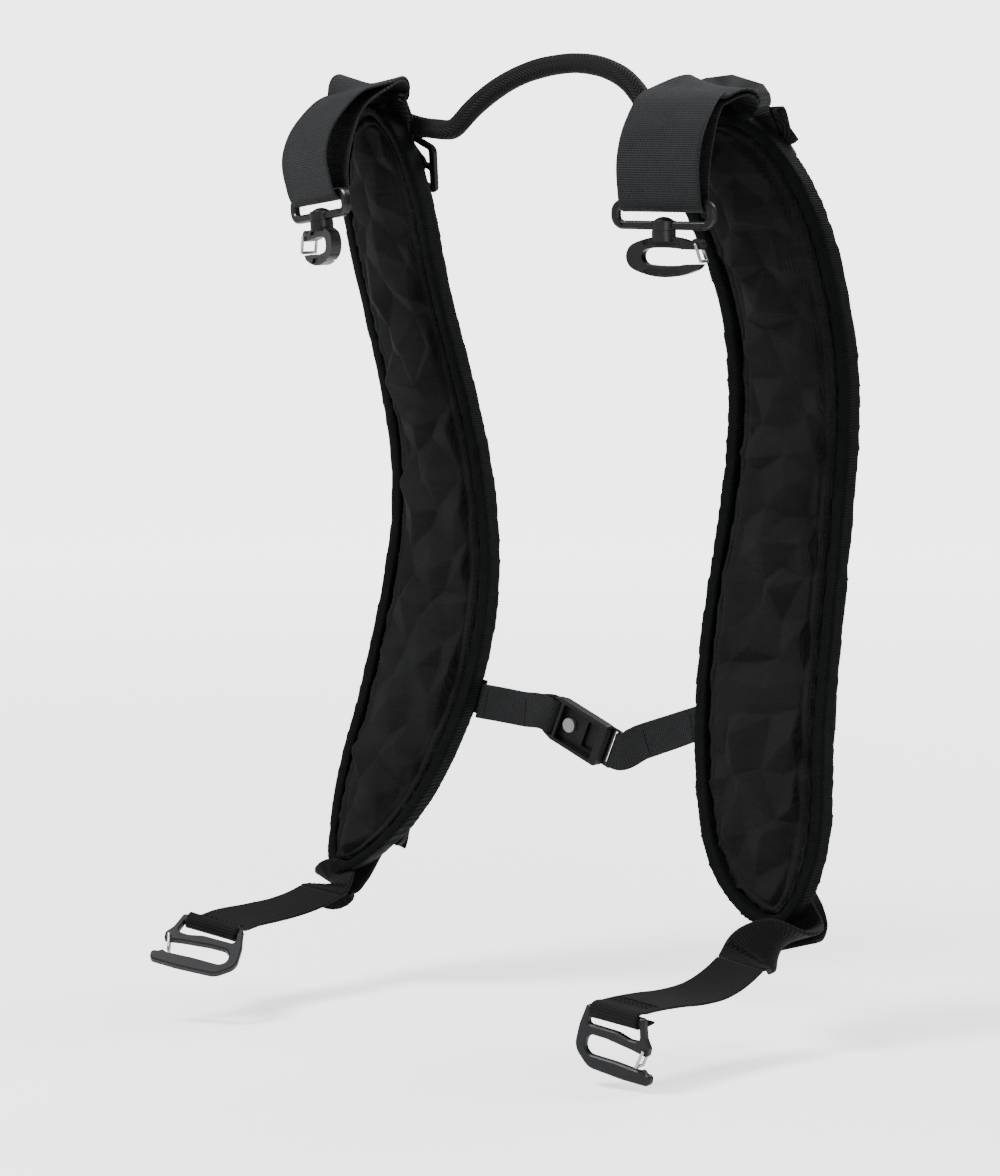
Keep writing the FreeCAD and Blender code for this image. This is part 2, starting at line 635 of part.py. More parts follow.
def build_lower_strap(pad, name):
    """The strap from the tab's sewn fold to the G-hook, round its bar and back under itself."""
    start, tab_across, away = tab_end(name)
    bar, across, up, level_up, back = hook_frame(name)
    thick = dim("web_thick")
    wrap = dim("g_bar_half") * 1.2 + thick * 0.75

    def level(backwards, upwards):
        return bar + back * backwards + level_up * upwards

    centres = [level(14, -2.8), level(7, -3.6)]
    for angle in (-60, -100, -145, -190, -235, -265):
        centres.append(level(wrap * math.cos(math.radians(angle)), wrap * math.sin(math.radians(angle))))
    rise = dim(f"strap_{name}_rise")
    centres += [level(7, 1.8 + rise / 2), level(15, rise)]
    acrosses = [across] * len(centres)
    first = centres[-1]
    last = start + away * 9
    sag = (last - first).Length * 1.15
    for share in (0.25, 0.5, 0.75, 1.0):
        settled = share * share * (3 - 2 * share)
        outgoing = share ** 3 - 2 * share ** 2 + share
        incoming = share ** 3 - share ** 2
        centres.append(first * (1 - settled) + last * settled + (back * outgoing - away * incoming) * sag)
        acrosses.append((across * (1 - settled) + tab_across * settled).normalize())
    centres += [start + away * 5, start + away * 2.5]
    acrosses += [tab_across] * 2
    shaped(f"lower_strap_{name}", ribbon(centres, acrosses, dim("lower_web"), thick))


def g_hook_pivot():
    """The gate's pivot in the plate: along the bar and above it."""
    return 19.8, -14.6


def g_hook_nose():
    """The tip of the lower bar, which the gate rests against."""
    return 21.2, -27.6


def build_g_hook(name):
    """A flat plate: webbing slot above, curved middle bar, mouth open at one end, thick lower bar."""
    body = new_body(f"g_hook_{name}")
    slot = dim("g_slot_half")
    bar = dim("g_bar_half")
    plan = new_sketch(body, "XZ_Plane", "plan")
    outline(plan, [(-slot - 2.4, bar, 1.6), (slot + 2.4, bar, 1.6), (slot + 4.4, -8, 6),
                   (22.6, -12.6, 2), (21.8, -17.6, 1.8), (12, -15.6, 4), (-4, -13.4, 12),
                   (-16.6, -13.0, 5.2), (-17.4, -24.0, 5.2), (2, -24.4, 20), (17, -25.6, 3),
                   (19.4, -24.4, 1.2), (21.6, -26.4, 1.4), (25.0, -26.6, 2.0), (24.4, -32.6, 3.2),
                   (8, -32.6, 18), (-14, -31.0, 10), (-23.4, -22, 9), (-21.4, -9, 8)])
    plate = symmetric(new_feature(body, "Pad", plan, "plate", Length="dims.g_thick"))
    slot_plan = new_sketch(body, "XZ_Plane", "slot_plan")
    outline(slot_plan, [(-slot, -bar, 1), (slot, -bar, 1), (slot + 1.2, -10.4, 2.4), (10, -10.6, 5),
                        (2, -8.4, 10), (-slot - 1.2, -8.0, 2)])
    through = cut_through(body, slot_plan, "slot")
    bevel(body, through, Vector(0, 1, 0), "dims.g_bevel")
    doc.recompute()
    pivot_x, pivot_z = g_hook_pivot()
    pivot_plan = new_sketch(body, "XZ_Plane", "pivot_plan")
    circle(pivot_plan, pivot_x, pivot_z, "dims.wire_radius + dims.run_gap")
    cut_through(body, pivot_plan, "pivot_hole")
    bar_centre, across, up, level_up, back = hook_frame(name)
    placed(body, bar_centre, across * SIDES[name], up)
    finished(body, f"g_hook_{name}")


def build_g_gate(name):
    radius = dim("wire_radius")
    leg = dim("g_thick") / 2 + radius + dim("wire_gap")
    pivot_x, pivot_z = g_hook_pivot()
    nose_x, nose_z = g_hook_nose()
    foot_x = nose_x - 4.6
    foot_z = nose_z + 4.4
    path = [Vector(pivot_x, -1.0, pivot_z), Vector(pivot_x, -leg, pivot_z), Vector(foot_x, -leg, foot_z),
            Vector(foot_x, leg, foot_z), Vector(pivot_x, leg, pivot_z), Vector(pivot_x, 1.0, pivot_z)]
    gate = shaped(f"g_gate_{name}", bent_wire(path, radius))
    bar_centre, across, up, level_up, back = hook_frame(name)
    placed(gate, bar_centre, across * SIDES[name], up)


# ---------------------------------------------------------------- adjuster behind the pad's tip

def lock_frame(pad):
    """Centre of the ladder lock's upper bar, and the lock's own directions."""
    distance = pad.length - dim("lock_from_tip")
    centre, down, width, normal = pad.at(distance)
    out = dim("edge_half_thick") + dim("lock_stand_off")
    lean = math.radians(dim("lock_lean"))
    up = (down * -math.cos(lean) + normal * math.sin(lean)).normalize()
    return centre - normal * out, width, up, down, normal


def build_ladder_lock(pad, name):
    body = new_body(f"ladder_lock_{name}")
    half = dim("lock_width") / 2
    bar = dim("lock_bar")
    height = dim("lock_height")
    plan = new_sketch(body, "XZ_Plane", "plan")
    outline(plan, [(-half, bar / 2, 1.4), (half, bar / 2, 1.4), (half, 6 - height, 4),
                   (half - 3, bar / 2 - height, 3), (3 - half, bar / 2 - height, 3), (-half, 6 - height, 4)])
    symmetric(new_feature(body, "Pad", plan, "frame", Length="dims.lock_thick"))
    windows = new_sketch(body, "XZ_Plane", "windows")
    inner = dim("lower_web") / 2 + 0.6
    rounded_box(windows, inner, -bar / 2 - 6.5, -bar / 2, 0.8)
    rounded_box(windows, inner, bar / 2 - height + bar, -bar / 2 - 6.5 - bar, 0.8)
    through = cut_through(body, windows, "slots")
    bevel(body, through, Vector(0, 1, 0), "dims.lock_bevel")
    origin, width, up = lock_frame(pad)[:3]
    placed(body, origin, width, up)
    finished(body, f"ladder_lock_{name}")


def build_adjuster_web(pad, name):
    """Webbing sewn behind the pad, round the ladder lock's upper bar and back under itself."""
    origin, width, up, down, normal = lock_frame(pad)
    thick = dim("web_thick")
    wrap = dim("lock_thick") / 2 + dim("web_clearance") + thick / 2
    behind = dim("edge_half_thick") + dim("sewn_gap") + thick / 2
    distance = pad.length - dim("lock_from_tip")
    centres = []
    acrosses = []

    def sewn(above, out):
        centres.append(pad.back(distance - above, out))
        acrosses.append(pad.at(distance - above)[2])

    def level(downwards, outwards):
        centres.append(origin + down * downwards - normal * outwards)
        acrosses.append(width)

    for above in (40, 28, 18):
        sewn(above, behind)
    level(-8, 3.2 - dim("lock_stand_off"))
    for angle in (-100, -50, 0, 50, 100):
        level(wrap * math.cos(math.radians(angle)), wrap * math.sin(math.radians(angle)))
    level(-9, 5.4 - dim("lock_stand_off"))
    for above in (18, 28, 40):
        sewn(above, behind + thick + dim("ply_gap"))
    shaped(f"adjuster_web_{name}", ribbon(centres, acrosses, dim("lower_web"), thick))


def build_tail(pad, name):
    """The loose tail of the adjuster: it lies on the ladder lock, then curls down and forwards."""
    origin, width, up = lock_frame(pad)[:3]
    outward = up.cross(width)
    on_lock = dim("lock_thick") / 2 + dim("web_clearance") + dim("web_thick") / 2
    places = [(6, on_lock), (13, on_lock), (20, on_lock + 1)]
    if name == "right":
        places += [(28, 10), (36, 19), (45, 23), (53, 17), (56, 7)]
    else:
        places += [(25, on_lock + 1)]
    centres = [origin - up * below + outward * out for below, out in places]
    shaped(f"web_tail_{name}", ribbon(centres, [width] * len(centres), dim("lower_web"), dim("web_thick")))


# ---------------------------------------------------------------- sternum strap and buckle

def chest_frame(pad):
    distance = pad.length - dim("chest_from_tip")
    centre, down, width, normal = pad.at(distance)
    return distance, centre, down, width, normal


def chest_start(pad):
    """Where the sternum strap leaves the pad's inner edge."""
    distance, centre, down, width, normal = chest_frame(pad)
    reach = pad.half_width(distance) + 2.5
    return centre - width * (pad.side * reach) - normal * 3.5, down


def build_chest_anchor(pad, name):
    """Webbing sewn straight across the pad's back, showing a little at its outer edge."""
    distance, centre, down, width, normal = chest_frame(pad)
    half = pad.half_width(distance)
    behind = dim("edge_half_thick") + dim("sewn_gap") + dim("web_thick") / 2
    ends = [centre - normal * behind + width * (pad.side * reach) for reach in (1 - half, 0, half + 1.5)]
    shaped(f"chest_anchor_{name}", ribbon(ends, [down] * 3, dim("chest_web"), dim("web_thick")))


def buckle_frame():
    """Centre of the buckle, its length (to the right and down) and its width (up)."""
    slope = math.radians(dim("buckle_slope"))
    along = Vector(math.cos(slope), 0, -math.sin(slope))
    up = Vector(0, 0, 1)
    up = (up - along * up.dot(along)).normalize()
    return Vector(dim("buckle_x"), dim("buckle_y"), dim("buckle_z")), along, up


def tongue_offset():
    """How far the tongue's middle lies behind the tray's."""
    return dim("tray_depth") / 2 + dim("tray_wall") / 2 + 0.25


def build_tray():
    """The buckle's open tray, with the left strap's bar, the magnet's seat and a window."""
    body = new_body("buckle_tray")
    half = dim("tray_length") / 2
    side = dim("tray_width") / 2
    wall = dim("tray_wall")
    plan = new_sketch(body, "XZ_Plane", "plan")
    outline(plan, [(-half - 7, -side + 2, 2.5), (-half, -side, 3), (half, -side, 2.2), (half, side, 2.2),
                   (-half, side, 3), (-half - 7, side - 2, 2.5)])
    symmetric(new_feature(body, "Pad", plan, "block", Length="dims.tray_depth"))
    hollow = new_sketch(body, "XZ_Plane", "hollow")
    hollow.AttachmentOffset = FreeCAD.Placement(Vector(0, 0, dim("tray_depth") / 2), FreeCAD.Rotation())
    rounded_box_at(hollow, -half + wall, half - 5, -side + wall, side - wall, 1.2)
    new_feature(body, "Pocket", hollow, "hollow_cut", Length="dims.tray_depth - dims.tray_wall")
    slot = new_sketch(body, "XZ_Plane", "slot")
    rounded_box_at(slot, -half - 4.6, -half + 0.2, -side + wall + 0.2, side - wall - 0.2, 1)
    cut_through(body, slot, "slot_cut")
    window = new_sketch(body, "XZ_Plane", "window")
    rounded_box_at(window, 1.5, half - 7, -side + 5, side - 5, 1)
    cut_through(body, window, "window_cut")
    centre, along, up = buckle_frame()
    placed(body, centre, along, up)
    finished(body, "buckle_tray")


def rounded_box_at(sketch, left, right, low, high, radius):
    outline(sketch, [(left, low, radius), (right, low, radius), (right, high, radius), (left, high, radius)])


def build_tongue():
    """The buckle's other half, behind the tray, with the right strap's slot at its far end."""
    body = new_body("buckle_tongue")
    half = dim("tray_length") / 2
    side = dim("tray_width") / 2
    plan = new_sketch(body, "XZ_Plane", "plan")
    outline(plan, [(-half + 2, -side + 2, 2), (half + 7, -side + 1, 3), (half + 7, side - 1, 3),
                   (-half + 2, side - 2, 2)])
    symmetric(new_feature(body, "Pad", plan, "plate", Length="dims.tray_wall"))
    slot = new_sketch(body, "XZ_Plane", "slot")
    rounded_box_at(slot, half + 1, half + 4.6, -side + 2.2, side - 2.2, 1)
    cut_through(body, slot, "slot_cut")
    centre, along, up = buckle_frame()
    back = up.cross(along)
    placed(body, centre + back * tongue_offset(), along, up)
    finished(body, "buckle_tongue")


def build_disc(name, backwards):
    """A magnet disc, as a Part cylinder with its axis through the buckle."""
    disc = doc.addObject("Part::Cylinder", name)
    disc.setExpression("Radius", "dims.disc_radius")
    disc.setExpression("Height", "dims.disc_height")
    centre, along, up = buckle_frame()
    back = up.cross(along)
    seat = centre - along * 9 + back * backwards
    turn = FreeCAD.Rotation(Vector(0, 0, 1), back)
    disc.Placement = FreeCAD.Placement(seat, turn)
    finished(disc, name)


def build_sternum_strap(pad, name):
    """From the pad's edge to the buckle, round the buckle's bar and back behind itself."""
    start, down = chest_start(pad)
    centre, along, up = buckle_frame()
    back = up.cross(along)
    thick = dim("web_thick")
    outward = along * pad.side
    reach = dim("tray_length") / 2 + 5.8
    fold = 20
    if pad.side < 0:
        bar = centre + outward * reach
        wrap = dim("tray_depth") / 2 + 0.4 + thick / 2
    else:
        bar = centre + outward * reach + back * tongue_offset()
        wrap = dim("tray_wall") / 2 + 1.0 + thick / 2
    ply = (thick + dim("ply_gap")) / 2

    def level(outwards, frontwards):
        return bar + outward * outwards - back * frontwards

    toward = (start - bar).normalize()
    far = bar + toward * fold
    centres = [start, start * 0.6 + far * 0.4, far - back * ply]
    for angle in (75, 110, 145, 180, 215, 250, 285):
        turn = math.radians(angle)
        centres.append(level(wrap * math.cos(turn), wrap * math.sin(turn)))
    centres.append(bar + toward * (fold * 0.5) + back * (ply + 0.25 * wrap))
    centres.append(far + back * ply - toward * 2)
    acrosses = [down * -1, (up - down).normalize()] + [up] * (len(centres) - 2)
    shaped(f"sternum_strap_{name}", ribbon(centres, acrosses, dim("chest_web"), thick))


# ---------------------------------------------------------------- grab handle

def handle_end(name):
    """The grip's end, short of the pad's inner edge and a little above the sewn tab."""
    pad = Pad(SIDES[name])
    distance = dim("handle_from_top") - dim(f"handle_{name}_rise")
    behind = dim("edge_half_thick") + dim("sewn_gap") + dim("grip_radius")
    reach = pad.half_width(distance) + dim(f"handle_{name}_reach")
    return pad.back(distance, behind, -pad.side * reach)


def handle_path():
    """From the left end over the grip's centre to the right end."""
    left = Vector(-dim("flank_x"), dim("flank_y"), dim("flank_left_z"))
    right = Vector(dim("flank_x"), dim("flank_y"), dim("flank_right_z"))
    return [handle_end("left"), left, Vector(0, 0, 0), right, handle_end("right")]


def swept_rod(points, radius):
    path = Part.Wire(smooth(points).toShape())
    start = path.Edges[0]
    along = start.tangentAt(start.FirstParameter)
    ring = Part.Wire(Part.makeCircle(radius, points[0], along))
    return path.makePipeShell([ring], True, False)


def build_handle():
    radius = dim("grip_radius")
    bore = radius - dim("grip_wall")
    outer = swept_rod(handle_path(), radius)
    hollow = swept_rod(handle_path(), bore)
    shaped("handle_sleeve", outer.cut(hollow))
    shaped("handle_core", swept_rod(handle_path(), bore - 0.2))


def build_handle_tab(pad, name):
    """The sleeve's flattened end, sewn behind the pad's inner edge."""
    distance = dim("handle_from_top")
    half = pad.half_width(distance)
    behind = dim("edge_half_thick") + dim("sewn_gap") + dim("handle_tab_thick") / 2
    places = [(half + 1, behind + 2), (half - 2, behind + 1), (dim("top_web") / 2 + 1.2, behind)]
    centres = [pad.back(distance, out, -pad.side * across) for across, out in places]
    down = pad.at(distance)[1]
    shaped(f"handle_tab_{name}",
           ribbon(centres, [down] * 3, dim("handle_tab_width"), dim("handle_tab_thick")))


# ---------------------------------------------------------------- the whole harness

for side_name, side_sign in SIDES.items():
    shoulder = Pad(side_sign)
    for build in (build_pad, build_top_strap, build_slider, build_anchor_tab, build_lower_strap,
                  build_ladder_lock, build_adjuster_web, build_tail, build_chest_anchor,
                  build_sternum_strap, build_handle_tab):
        build(shoulder, side_name)
    for build in (build_ring, build_swivel_pin, build_snap_hook, build_snap_gate, build_g_hook,
                  build_g_gate):
        build(side_name)
build_tray()
build_tongue()
build_disc("tray_magnet", -1.5)
build_disc("tongue_magnet", 5.6)
build_handle()
doc.recompute()

for obj in doc.Objects:
    if "Invalid" in obj.State or "Error" in obj.State:
        raise SystemExit(f"{obj.Name} failed: {obj.State}")
for obj in parts:
    if obj.Shape.isNull() or not obj.Shape.isValid() or obj.Shape.Volume <= 0:
        raise SystemExit(f"{obj.Label} has a bad shape")

os.makedirs("parts", exist_ok=True)
for obj in parts:
    obj.Shape.exportStep(f"parts/{obj.Label}.step")
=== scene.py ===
import json
import math
import random

import bmesh
import bpy
import numpy as np
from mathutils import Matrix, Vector, noise
from mathutils.bvhtree import BVHTree
from mathutils.geometry import delaunay_2d_cdt
from mathutils.kdtree import KDTree

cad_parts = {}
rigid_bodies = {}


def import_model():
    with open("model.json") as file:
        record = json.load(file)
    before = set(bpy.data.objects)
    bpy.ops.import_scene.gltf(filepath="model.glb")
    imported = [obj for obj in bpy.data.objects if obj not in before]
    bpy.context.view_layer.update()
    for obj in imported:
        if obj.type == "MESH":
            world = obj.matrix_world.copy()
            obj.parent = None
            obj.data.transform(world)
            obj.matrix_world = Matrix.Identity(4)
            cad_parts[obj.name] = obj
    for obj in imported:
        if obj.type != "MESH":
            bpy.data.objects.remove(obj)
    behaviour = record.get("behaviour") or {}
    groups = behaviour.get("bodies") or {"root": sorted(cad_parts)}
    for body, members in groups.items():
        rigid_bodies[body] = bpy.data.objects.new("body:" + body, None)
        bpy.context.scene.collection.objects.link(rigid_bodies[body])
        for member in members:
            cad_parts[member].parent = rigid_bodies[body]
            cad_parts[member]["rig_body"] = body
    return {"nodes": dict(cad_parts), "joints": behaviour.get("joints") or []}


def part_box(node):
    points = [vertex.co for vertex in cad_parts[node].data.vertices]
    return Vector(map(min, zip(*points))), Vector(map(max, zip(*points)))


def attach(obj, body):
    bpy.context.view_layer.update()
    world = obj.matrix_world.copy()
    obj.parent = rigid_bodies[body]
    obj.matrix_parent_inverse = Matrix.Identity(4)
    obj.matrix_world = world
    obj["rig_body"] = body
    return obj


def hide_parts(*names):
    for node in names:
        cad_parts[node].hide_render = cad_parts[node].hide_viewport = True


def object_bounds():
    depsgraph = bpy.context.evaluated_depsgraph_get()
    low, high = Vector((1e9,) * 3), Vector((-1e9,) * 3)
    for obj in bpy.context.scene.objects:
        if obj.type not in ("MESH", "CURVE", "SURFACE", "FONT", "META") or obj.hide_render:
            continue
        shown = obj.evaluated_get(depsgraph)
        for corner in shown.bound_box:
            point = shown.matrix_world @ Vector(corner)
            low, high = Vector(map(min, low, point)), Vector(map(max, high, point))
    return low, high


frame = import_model()
cad_low, cad_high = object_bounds()

NODES = frame["nodes"]
SIDES = ("right", "left")
MM = 0.001


# ---------------------------------------------------------------- small helpers

def body_of(node):
    return NODES[node]["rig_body"]


def new_object(name, vertices, faces):
    mesh = bpy.data.meshes.new(name)
    mesh.from_pydata(vertices, [], faces)
    mesh.update()
    obj = bpy.data.objects.new(name, mesh)
    bpy.context.scene.collection.objects.link(obj)
    return obj


def finish_piece(obj, nodes, material):
    """Gives a piece its material and slot, and lets it stand for, and ride with, its CAD nodes."""
    obj.data.materials.clear()
    obj.data.materials.append(material)
    obj.data.shade_smooth()
    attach(obj, body_of(nodes[0]))
    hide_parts(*nodes)
    return obj


def detail_piece(obj, body, material):
    """A piece that adds detail and replaces no CAD node."""
    obj.data.materials.append(material)
    obj.data.shade_smooth()
    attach(obj, body)
    return obj


def coordinates(mesh):
    flat = np.zeros(len(mesh.vertices) * 3)
    mesh.vertices.foreach_get("co", flat)
    return flat.reshape(-1, 3)


def set_coordinates(mesh, points):
    mesh.vertices.foreach_set("co", points.ravel())
    mesh.update()


def vertex_normals(mesh):
    flat = np.zeros(len(mesh.vertices) * 3)
    mesh.vertices.foreach_get("normal", flat)
    return flat.reshape(-1, 3)


def apply_modifiers(obj):
    """Replaces an object's mesh by what its modifiers make of it."""
    evaluated = obj.evaluated_get(bpy.context.evaluated_depsgraph_get())
    mesh = bpy.data.meshes.new_from_object(evaluated)
    obj.modifiers.clear()
    obj.data = mesh
    return obj


def copy_of(name, nodes):
    """A new object that holds the joined, welded meshes of some CAD nodes."""
    joined = bmesh.new()
    for node in nodes:
        joined.from_mesh(NODES[node].data)
    bmesh.ops.remove_doubles(joined, verts=joined.verts, dist=1e-6)
    mesh = bpy.data.meshes.new(name)
    joined.to_mesh(mesh)
    joined.free()
    obj = bpy.data.objects.new(name, mesh)
    bpy.context.scene.collection.objects.link(obj)
    return obj


def remeshed(obj, voxel, smoothing=0):
    remesh = obj.modifiers.new("remesh", "REMESH")
    remesh.mode = "VOXEL"
    remesh.voxel_size = voxel
    if smoothing:
        relax = obj.modifiers.new("relax", "SMOOTH")
        relax.factor = 0.5
        relax.iterations = smoothing
    return apply_modifiers(obj)


def refined(obj, levels):
    subdivision = obj.modifiers.new("subdivision", "SUBSURF")
    subdivision.levels = levels
    subdivision.render_levels = levels
    return apply_modifiers(obj)


# ---------------------------------------------------------------- materials

class Shader:
    """A procedural material under construction: one Principled surface and a few node helpers."""

    def __init__(self, name, roughness, metallic=0.0, sheen=0.0, specular=0.5):
        self.material = bpy.data.materials.new(name)
        self.material.use_nodes = True
        self.tree = self.material.node_tree
        self.surface = self.tree.nodes["Principled BSDF"]
        self.surface.inputs["Roughness"].default_value = roughness
        self.surface.inputs["Metallic"].default_value = metallic
        self.surface.inputs["Specular IOR Level"].default_value = specular
        self.surface.inputs["Sheen Weight"].default_value = sheen
        self.surface.inputs["Sheen Roughness"].default_value = 0.45
        self.bumps = []

    def link(self, output, target):
        self.tree.links.new(output, target)
        return output

    def place(self, kind="Object", scale=(1, 1, 1), turn=(0, 0, 0)):
        """Texture coordinates, stretched and turned."""
        source = self.tree.nodes.new("ShaderNodeTexCoord")
        mapping = self.tree.nodes.new("ShaderNodeMapping")
        mapping.inputs["Scale"].default_value = scale
        mapping.inputs["Rotation"].default_value = turn
        self.link(source.outputs[kind], mapping.inputs["Vector"])
        return mapping.outputs["Vector"]

    def noise(self, where, scale, detail=3.0, roughness=0.55):
        node = self.tree.nodes.new("ShaderNodeTexNoise")
        node.inputs["Scale"].default_value = scale
        node.inputs["Detail"].default_value = detail
        node.inputs["Roughness"].default_value = roughness
        self.link(where, node.inputs["Vector"])
        return node.outputs["Fac"]

    def waves(self, where, period, direction="X", distortion=0.0):
        """Parallel sine ridges, one each period metres."""
        node = self.tree.nodes.new("ShaderNodeTexWave")
        node.bands_direction = direction
        node.inputs["Scale"].default_value = math.tau / (20 * period)
        node.inputs["Distortion"].default_value = distortion
        node.inputs["Detail"].default_value = 0.0
        self.link(where, node.inputs["Vector"])
        return node.outputs["Fac"]

    def cells(self, where, scale):
        node = self.tree.nodes.new("ShaderNodeTexVoronoi")
        node.inputs["Scale"].default_value = scale
        self.link(where, node.inputs["Vector"])
        return node.outputs["Distance"]

    def maths(self, operation, first, second):
        node = self.tree.nodes.new("ShaderNodeMath")
        node.operation = operation
        for value, socket in zip((first, second), node.inputs):
            if isinstance(value, (int, float)):
                socket.default_value = value
            else:
                self.link(value, socket)
        return node.outputs["Value"]

    def colour(self, factor, dark, light):
        ramp = self.tree.nodes.new("ShaderNodeMix")
        ramp.data_type = "RGBA"
        ramp.inputs[6].default_value = (*dark, 1)
        ramp.inputs[7].default_value = (*light, 1)
        self.link(factor, ramp.inputs[0])
        self.link(ramp.outputs[2], self.surface.inputs["Base Color"])

    def rough(self, factor, low, high):
        span = self.tree.nodes.new("ShaderNodeMapRange")
        span.inputs["To Min"].default_value = low
        span.inputs["To Max"].default_value = high
        self.link(factor, span.inputs["Value"])
        self.link(span.outputs["Result"], self.surface.inputs["Roughness"])

    def bump(self, height, distance, strength=1.0):
        node = self.tree.nodes.new("ShaderNodeBump")
        node.inputs["Distance"].default_value = distance
        node.inputs["Strength"].default_value = strength
        self.link(height, node.inputs["Height"])
        if self.bumps:
            self.link(self.bumps[-1].outputs["Normal"], node.inputs["Normal"])
        self.bumps.append(node)
        self.link(node.outputs["Normal"], self.surface.inputs["Normal"])


def grey(level, tint=(1.0, 1.0, 1.0)):
    """Linear colour from an 8-bit display grey and a tint."""
    value = (level / 255) ** 2.2
    return tuple(value * t for t in tint)


def knit_material():
    """Matt stretch knit: fine loops, faint level creases and a soft sheen; its colour is darker in the
    loops' hollows, as painted shade.
    """
    s = Shader("knit", 0.82, sheen=0.01, specular=0.07)
    fine = s.place(scale=(1, 1, 1))
    level = s.place(scale=(0.16, 0.16, 1))
    creases = s.noise(level, 420, 4, 0.6)
    loops = s.waves(fine, 0.9 * MM, "Z", 1.5)
    ribs = s.waves(fine, 1.1 * MM, "X", 1.5)
    weave = s.maths("MULTIPLY", loops, ribs)
    blotches = s.noise(fine, 35, 3)
    # The colour follows the loops' relief, darker in their hollows as painted shade, times random blotches
    # of tone.
    s.colour(s.maths("MULTIPLY", blotches, s.maths("ADD", weave, 0.45)), grey(9), grey(40, (0.98, 1, 1.04)))
    s.rough(blotches, 0.72, 0.92)
    s.bump(creases, 0.5 * MM, 0.55)
    s.bump(weave, 0.16 * MM, 0.6)
    return s.material


def lining_material():
    """Plain hard-wearing woven lining on the pad's back, its colour darker in the weave's hollows as painted
    shade.
    """
    s = Shader("lining", 0.8, sheen=0.03, specular=0.12)
    where = s.place()
    weave = s.maths("MULTIPLY", s.waves(where, 0.8 * MM, "X"), s.waves(where, 0.8 * MM, "Z"))
    blotches = s.noise(where, 60, 4)
    # The colour follows the weave's relief, darker in its hollows as painted shade, times random blotches of
    # tone.
    s.colour(s.maths("MULTIPLY", blotches, s.maths("ADD", weave, 0.5)), grey(9), grey(42))
    s.rough(blotches, 0.7, 0.9)
    s.bump(s.noise(where, 90, 3), 0.6 * MM, 0.3)
    s.bump(weave, 0.15 * MM, 0.7)
    return s.material


def binding_material():
    """Twill tape: diagonal ribs, greenish black, the colour darker between the ribs as painted shade."""
    s = Shader("binding", 0.7, sheen=0.01, specular=0.06)
    where = s.place()
    turned = s.place(turn=(0, math.radians(38), 0))
    twill = s.waves(turned, 1.15 * MM, "Z", 0.6)
    blotches = s.noise(where, 120, 3)
    # The colour follows the twill's relief, darker between the ribs as painted shade, times random blotches
    # of tone.
    s.colour(s.maths("MULTIPLY", blotches, s.maths("ADD", twill, 0.35)), grey(7, (0.8, 1.05, 1)),
             grey(22, (0.85, 1.05, 1.0)))
    s.rough(twill, 0.6, 0.85)
    s.bump(s.noise(where, 200, 3), 0.3 * MM, 0.4)
    s.bump(twill, 0.28 * MM, 0.9)
    return s.material


def webbing_material(name, rib, light, shine):
    """Cross-ribbed webbing, its colour darker between the ribs as painted shade. Its coordinates run across
    (U) and along (V) the strap, in metres.
    """
    s = Shader(name, 0.6, sheen=0.02, specular=0.16)
    where = s.place("UV")
    along = s.waves(where, rib, "Y")
    across = s.waves(where, rib * 0.8, "X")
    offset = s.place("UV", turn=(0, 0, math.radians(24)))
    twist = s.waves(offset, rib * 1.3, "X")
    weave = s.maths("ADD", s.maths("MULTIPLY", along, 0.6), s.maths("MULTIPLY", across, 0.25))
    weave = s.maths("ADD", weave, s.maths("MULTIPLY", twist, 0.15))
    blotches = s.noise(s.place(), 80, 4)
    # Painted shade: the colour follows the ribs' relief and is darker in their valleys, times random
    # blotches of tone.
    blotch_tone_and_painted_shade = s.maths("MULTIPLY", weave, s.maths("ADD", blotches, 0.25))
    s.colour(blotch_tone_and_painted_shade, grey(7), grey(light, (0.94, 1, 1.08)))
    s.rough(blotches, shine, shine + 0.2)
    s.bump(s.noise(s.place(), 45, 2), 0.8 * MM, 0.25)
    s.bump(weave, 0.5 * MM, 1.0)
    return s.material


def thread_material():
    s = Shader("thread", 0.6, sheen=0.0, specular=0.12)
    twist = s.waves(s.place(turn=(0.5, 0.6, 0.3)), 0.35 * MM, "X")
    # The colour follows the twist's relief, darker between its turns as painted shade, times random noise of
    # tone.
    s.colour(s.maths("MULTIPLY", twist, s.noise(s.place(), 300)), grey(10), grey(44))
    s.bump(twist, 0.1 * MM, 0.7)
    return s.material


def moulded_material():
    """Moulded plastic with a fine spark-eroded grain."""
    s = Shader("moulded", 0.5, specular=0.2)
    where = s.place()
    grain = s.cells(where, 1900)
    wear = s.noise(where, 70, 5)
    s.colour(wear, grey(8), grey(22))
    s.rough(wear, 0.36, 0.58)
    s.bump(grain, 0.05 * MM, 0.5)
    return s.material


def coated_metal_material():
    """Black-coated casting: smooth, with soft highlights and faint rubbing."""
    s = Shader("coated_metal", 0.3, metallic=0.0, specular=0.35)
    s.surface.inputs["Coat Weight"].default_value = 0.15
    s.surface.inputs["Coat Roughness"].default_value = 0.28
    where = s.place()
    wear = s.noise(where, 110, 6, 0.65)
    s.colour(wear, grey(8), grey(24, (0.98, 1, 1.05)))
    s.rough(wear, 0.26, 0.46)
    s.bump(s.noise(where, 900, 3), 0.04 * MM, 0.5)
    return s.material


